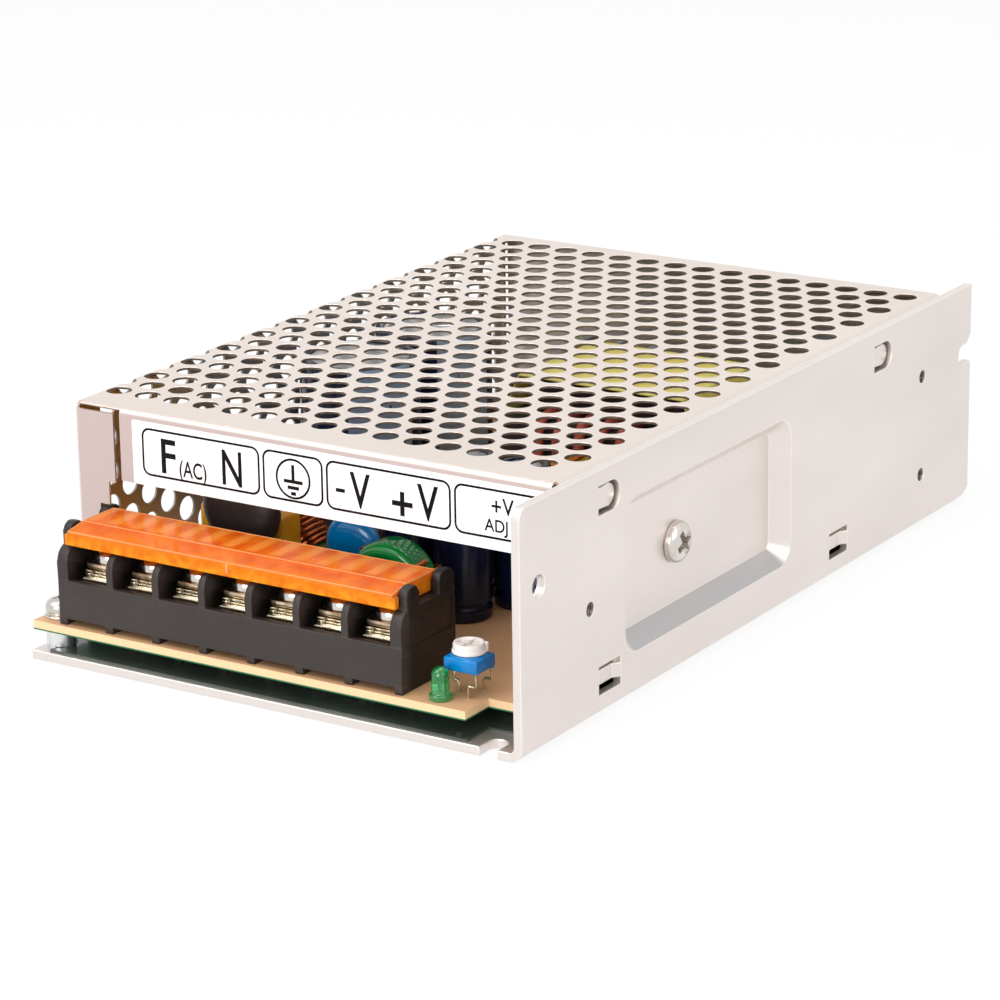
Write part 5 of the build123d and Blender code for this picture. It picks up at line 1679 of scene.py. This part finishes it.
def add_winding(bm, ring, turn, arc, turns, gauge, board):
    """Wire wound turn by turn over part of a ring core, with its two ends led to the board."""
    x, y, z, outer, inner, depth = ring
    steps = 14
    a = (outer - inner) / 2 + gauge / 2 + 0.06
    b = depth / 2 + gauge / 2 + 0.06
    path = []
    for k in range(turns * steps + 1):
        angle = radians(turn + arc * k / (turns * steps))
        across = tau * k / steps
        bulge = [abs(v) ** 0.38 * (1 if v > 0 else -1) for v in (cos(across), sin(across))]
        radial = (outer + inner) / 2 + a * bulge[0]
        path.append((x + radial * cos(angle), y + b * bulge[1], z + radial * sin(angle)))
    add_bar(bm, path, gauge / 2, 6)
    side = 1 if cos(radians(turn + arc / 2)) > 0 else -1
    low = x + side * outer / 2
    for end in (-1, 1):
        foot = (low, y + end * (depth / 2 + gauge / 2), board)
        add_bar(bm, [foot, (foot[0], foot[1], board + 2.0), (foot[0], foot[1], z - inner)], gauge / 2, 8)


class PSU_OT_chokes(bpy.types.Operator):
    """Wind the ring chokes on their coated cores"""

    bl_idname = "supply.chokes"
    bl_label = "Ring chokes"

    def execute(self, context):
        gauge = context.scene.supply_sizes.wire_gauge
        board = span("circuit_board")[1].z
        green = finish("green_core", paint(0, 140, 62), paint(0, 118, 50), rough=(0.06, 0.14), scale=120.0,
                       bump=0.08, edge=0.0, coat=0.5)
        yellow = finish("yellow_core", paint(224, 190, 66), paint(200, 160, 44), rough=(0.25, 0.35),
                        scale=120.0, bump=0.15, edge=0.0)
        copper = finish("copper_wire", paint(228, 130, 80), paint(200, 102, 56), rough=(0.14, 0.24),
                        metallic=0.9, scale=200.0, bump=0.15, edge=0.0)
        # name, coating, slot, (left, depth, height, outer, inner, thickness), rounding,
        # windings as (ending, first angle, swept angle, turns)
        rings = (
            ("output_choke", green, "green_core", (59.5, 22.0, 17.3, 7.4, 4.2, 6.2), 1.55,
             (("_winding_left", 144, 106, 7), ("_winding_right", -70, 106, 7))),
            ("filter_choke", green, "green_core", (31.5, 44.0, 18.3, 10.0, 5.5, 8.0), 1.6,
             (("_winding_left", 105, 150, 13), ("_winding_right", -75, 150, 13))),
            ("smoothing_choke", yellow, "yellow_core", (66.0, 68.0, 17.8, 9.5, 5.0, 8.0), 1.6,
             (("_winding", -70, 320, 25),)),
        )
        for name, coating, slot, ring, rounding, windings in rings:
            bm = bmesh.new()
            add_ring_core(bm, ring[:3], ring[3], ring[4], ring[5], rounding)
            built(name + "_ring", bm, coating, [name + "_core"])
            for ending, turn, arc, turns in windings:
                bm = bmesh.new()
                add_winding(bm, ring, turn, arc, turns, gauge, board)
                built(name + ending + "_wire", bm, copper, [name + ending], angle=60)
        return {"FINISHED"}


class PSU_OT_power(bpy.types.Operator):
    """Finish the transformer, the power packages and the small parts"""

    bl_idname = "supply.power"
    bl_label = "Transformer and power parts"

    def execute(self, context):
        # The ferrite and the heatsink metal have painted highlights on their edges.
        ferrite = finish("ferrite", paint(62, 60, 60), paint(48, 47, 47), rough=(0.4, 0.55), scale=160.0,
                         bump=0.4, edge=0.0003, rim=1.4)
        tape = finish("yellow_tape", paint(255, 244, 128), paint(250, 228, 104), rough=(0.3, 0.4),
                      scale=50.0, bump=0.2, edge=0.0004)
        dull = finish("heatsink_metal", paint(186, 186, 188), paint(166, 166, 168), rough=(0.35, 0.5),
                      metallic=0.9, scale=60.0, fine=30.0, bump=0.15, edge=0.0003, rim=1.2)
        stone = finish("white_ceramic", paint(228, 224, 214), paint(208, 202, 190), rough=(0.5, 0.65),
                       scale=200.0, bump=0.5, edge=0.0003)
        dress(ferrite, "transformer_core_front", "transformer_core_rear")
        dress(tape, "transformer_winding")
        dress(black_moulding(), "transformer_bobbin", "bridge_rectifier", "power_transistor",
              "output_rectifier", "auxiliary_transistor", "control_chip", "optocoupler")
        dress(dull, "board_heatsink", "clamp_bar")
        dress(stone, "ceramic_resistor", "insulating_pads")
        dress(bright_plate(), "fuse_clips")
        self.tape_band(tape)
        self.leads()
        self.fuse()
        low, high = span("clamp_screw")
        bm = bmesh.new()
        add_screw(bm, (high.x - 2.1, (low.y + high.y) / 2, (low.z + high.z) / 2), "X", 3.6, 2.1, 1.45, 8.6,
                  turn=0.5, cross=(0.85, 0.17))
        built("clamp_pan_screw", bm, domed_steel(), ["clamp_screw"])
        return {"FINISHED"}

    def tape_band(self, tape):
        """Turns of tape round both cores."""
        low, high = span("transformer_core_front")
        rear = span("transformer_core_rear")[1].y
        top = span("transformer_winding")[1].z + 0.15
        bottom = span("transformer_winding")[0].z - 0.1
        waist_low, waist_high = low.z - 0.1, high.z + 0.1
        outline = [
            (low.x + 7, bottom), (high.x - 7, bottom), (high.x + 0.1, waist_low), (high.x + 0.1, waist_high),
            (high.x - 3.2, top), (low.x + 3.2, top), (low.x - 0.1, waist_high), (low.x - 0.1, waist_low),
        ]
        bm = bmesh.new()
        for start, end, out in ((low.y + 1.2, rear - 1.2, 0.0), (low.y + 4.0, low.y + 4.2, 0.06)):
            add_band(bm, outline, 0.25, start, end, out)
        built("transformer_tape_band", bm, tape)

    def leads(self):
        """Sleeved winding ends over the transformer's front core, led down to the board."""
        red = finish("sleeved_lead", paint(206, 104, 84), paint(182, 84, 66), rough=(0.3, 0.42), scale=160.0,
                     bump=0.15, edge=0.0)
        board = span("circuit_board")[1].z
        low, high = span("transformer_core_front")
        count, start, pitch, radius = 5, 9.0, 4.2, 0.95
        bm = bmesh.new()
        for number in range(count):
            x = low.x + start + pitch * number
            ahead = low.y - 1.6 - 0.5 * (number % 2)
            over = [(high.y - 4.0, high.z + 0.8), (low.y + 2.0, high.z + 1.0), (low.y - 0.4, high.z + 0.5)]
            down = [(ahead, high.z - 1.6), (ahead, board)]
            add_bar(bm, [(x, y, z) for y, z in over + down], radius, 10)
        built("transformer_leads", bm, red)

    def fuse(self):
        """Glass fuse with its two caps and its wire."""
        glass = finish("fuse_glass", paint(238, 244, 244), paint(228, 236, 236), rough=(0.02, 0.05),
                       scale=40.0, bump=0.02, edge=0.0, see_through=0.85)
        low, high = span("fuse")
        middle = ((low.x + high.x) / 2, low.y, (low.z + high.z) / 2)
        length = high.y - low.y
        radius = (high.x - low.x) / 2
        bm = bmesh.new()
        add_turned(bm, [(radius - 0.2, 3.5), (radius - 0.2, length - 3.5)], middle, "Y", 28, 0)
        for start, end in ((0.0, 5.0), (length - 5.0, length)):
            cap = [(0.0, start), (radius - 0.3, start), (radius, start + 0.25), (radius, end - 0.25),
                   (radius - 0.3, end), (0.0, end)]
            add_turned(bm, cap, middle, "Y", 28, 1)
        add_bar(bm, [(middle[0], low.y + 4.5, middle[2]), (middle[0], high.y - 4.5, middle[2])], 0.12, 6, 1)
        built("glass_fuse", bm, [glass, bright_steel()], ["fuse"])


# Stage


def seen_rays(tree):
    """1 for what the camera sees, directly, in a reflection or through glass."""
    ray = add_node(tree, "ShaderNodeLightPath")
    most = ray.outputs["Is Camera Ray"]
    for kind in ("Is Glossy Ray", "Is Transmission Ray"):
        most = add_node(tree, "ShaderNodeMath", {0: most, 1: ray.outputs[kind]}, "MAXIMUM").outputs["Value"]
    return most


class PSU_OT_stage(bpy.types.Operator):
    """Set the floor, the lights and the camera"""

    bl_idname = "supply.stage"
    bl_label = "Stage"
    camera_place = (0.353296, -0.560529, 0.2245005)

    def execute(self, context):
        settings = context.scene.supply_stage
        self.floor(settings)
        self.lights(context, settings)
        self.sky(context, settings)
        self.camera(context, settings)
        return {"FINISHED"}

    def floor(self, settings):
        """Plain pale floor that keeps the shadows."""
        bm = bmesh.new()
        bmesh.ops.create_grid(bm, x_segments=8, y_segments=8, size=3.0)
        mesh = bpy.data.meshes.new("floor")
        bm.to_mesh(mesh)
        bm.free()
        material = bpy.data.materials.new("pale_floor")
        material.use_nodes = True
        tree = material.node_tree
        grain = placed_group(tree, "grain", Scale=4.0)
        tone = mixed(tree, grain.outputs["Tone"], (0.98, 0.98, 0.98), (0.97, 0.97, 0.97))
        body = set_inputs(tree, tree.nodes["Principled BSDF"], {
            "Base Color": tone, "Roughness": 0.7, "Specular IOR Level": 0.2})
        paper = add_node(tree, "ShaderNodeEmission")
        share = product(tree, seen_rays(tree), settings.paper)
        mix = add_node(tree, "ShaderNodeMixShader",
                       {0: share, 1: body.outputs["BSDF"], 2: paper.outputs["Emission"]})
        set_inputs(tree, tree.nodes["Material Output"], {"Surface": mix.outputs["Shader"]})
        mesh.materials.append(material)
        floor = bpy.data.objects.new("floor", mesh)
        floor.location.z = -0.2 * MM
        bpy.context.scene.collection.objects.link(floor)

    def lights(self, context, settings):
        """Soft lamps round the case, each turned to its middle."""
        for name, place, size, power in (
            ("key_light", (-0.35, -0.55, 0.85), 0.7, settings.key),
            ("fill_light", (0.75, -0.15, 0.45), 0.6, settings.fill),
            ("front_light", (0.1, -1.0, 0.3), 0.5, settings.front),
            ("top_light", (0.03, 0.03, 0.7), 0.35, settings.top),
        ):
            lamp = bpy.data.lights.new(name, "AREA")
            lamp.energy = power
            lamp.size = size
            holder = bpy.data.objects.new(name, lamp)
            holder.location = place
            holder.rotation_euler = (-Vector(place)).to_track_quat("-Z", "Y").to_euler()
            context.scene.collection.objects.link(holder)

    def sky(self, context, settings):
        """Even light from all round, plain white where it is seen."""
        world = bpy.data.worlds.new("plain_sky")
        context.scene.world = world
        world.use_nodes = True
        tree = world.node_tree
        white = (1.0, 1.0, 1.0, 1.0)
        even = set_inputs(tree, tree.nodes["Background"], {"Color": white, "Strength": settings.sky})
        seen = add_node(tree, "ShaderNodeBackground", {"Color": white})
        mix = add_node(tree, "ShaderNodeMixShader", {
            0: seen_rays(tree), 1: even.outputs["Background"], 2: seen.outputs["Background"]})
        set_inputs(tree, tree.nodes["World Output"], {"Surface": mix.outputs["Shader"]})

    def camera(self, context, settings):
        """Camera that shows the case from the photo's side."""
        data = bpy.data.cameras.new("camera")
        data.lens = settings.lens
        data.sensor_width = 36.0
        data.clip_start = 0.01
        data.clip_end = 20.0
        holder = bpy.data.objects.new("camera", data)
        place = Vector(self.camera_place)
        ahead = Vector((
            sin(settings.azimuth) * cos(settings.elevation),
            cos(settings.azimuth) * cos(settings.elevation),
            -sin(settings.elevation),
        ))
        right = ahead.cross(Vector((0, 0, 1))).normalized()
        up = right.cross(ahead)
        rolled_right = cos(settings.roll) * right + sin(settings.roll) * up
        rolled_up = -sin(settings.roll) * right + cos(settings.roll) * up
        turn = Matrix((rolled_right, rolled_up, -ahead)).transposed().to_4x4()
        holder.matrix_world = Matrix.Translation(place) @ turn
        context.scene.collection.objects.link(holder)
        context.scene.camera = holder
        context.scene.view_settings.view_transform = "Standard"


STEPS = (
    PSU_OT_stage, PSU_OT_chassis, PSU_OT_mesh_cover, PSU_OT_label, PSU_OT_board, PSU_OT_fasteners,
    PSU_OT_terminal_block, PSU_OT_terminal_metal, PSU_OT_lid, PSU_OT_trimmer, PSU_OT_lamp,
    PSU_OT_capacitors, PSU_OT_chokes, PSU_OT_power,
)


class PSU_PT_sidebar(bpy.types.Panel):
    """Lists the steps and the values that a user may change"""

    bl_idname = "PSU_PT_sidebar"
    bl_label = "Power Supply"
    bl_space_type = "VIEW_3D"
    bl_region_type = "UI"
    bl_category = "Supply"

    def draw(self, context):
        layout = self.layout
        for step in STEPS:
            layout.operator(step.bl_idname)
        for group in (context.scene.supply_finish, context.scene.supply_sizes, context.scene.supply_stage):
            for name in group.__annotations__:
                layout.prop(group, name)


CLASSES = (SupplyFinish, SupplySizes, SupplyStage, *STEPS, PSU_PT_sidebar)


def register():
    for one in CLASSES:
        bpy.utils.register_class(one)
    bpy.types.Scene.supply_finish = PointerProperty(type=SupplyFinish)
    bpy.types.Scene.supply_sizes = PointerProperty(type=SupplySizes)
    bpy.types.Scene.supply_stage = PointerProperty(type=SupplyStage)


def unregister():
    del bpy.types.Scene.supply_finish
    del bpy.types.Scene.supply_sizes
    del bpy.types.Scene.supply_stage
    for one in reversed(CLASSES):
        bpy.utils.unregister_class(one)


def main():
    register()
    for step in STEPS:
        group, name = step.bl_idname.split(".")
        getattr(getattr(bpy.ops, group), name)()


if __name__ == "__main__":
    main()
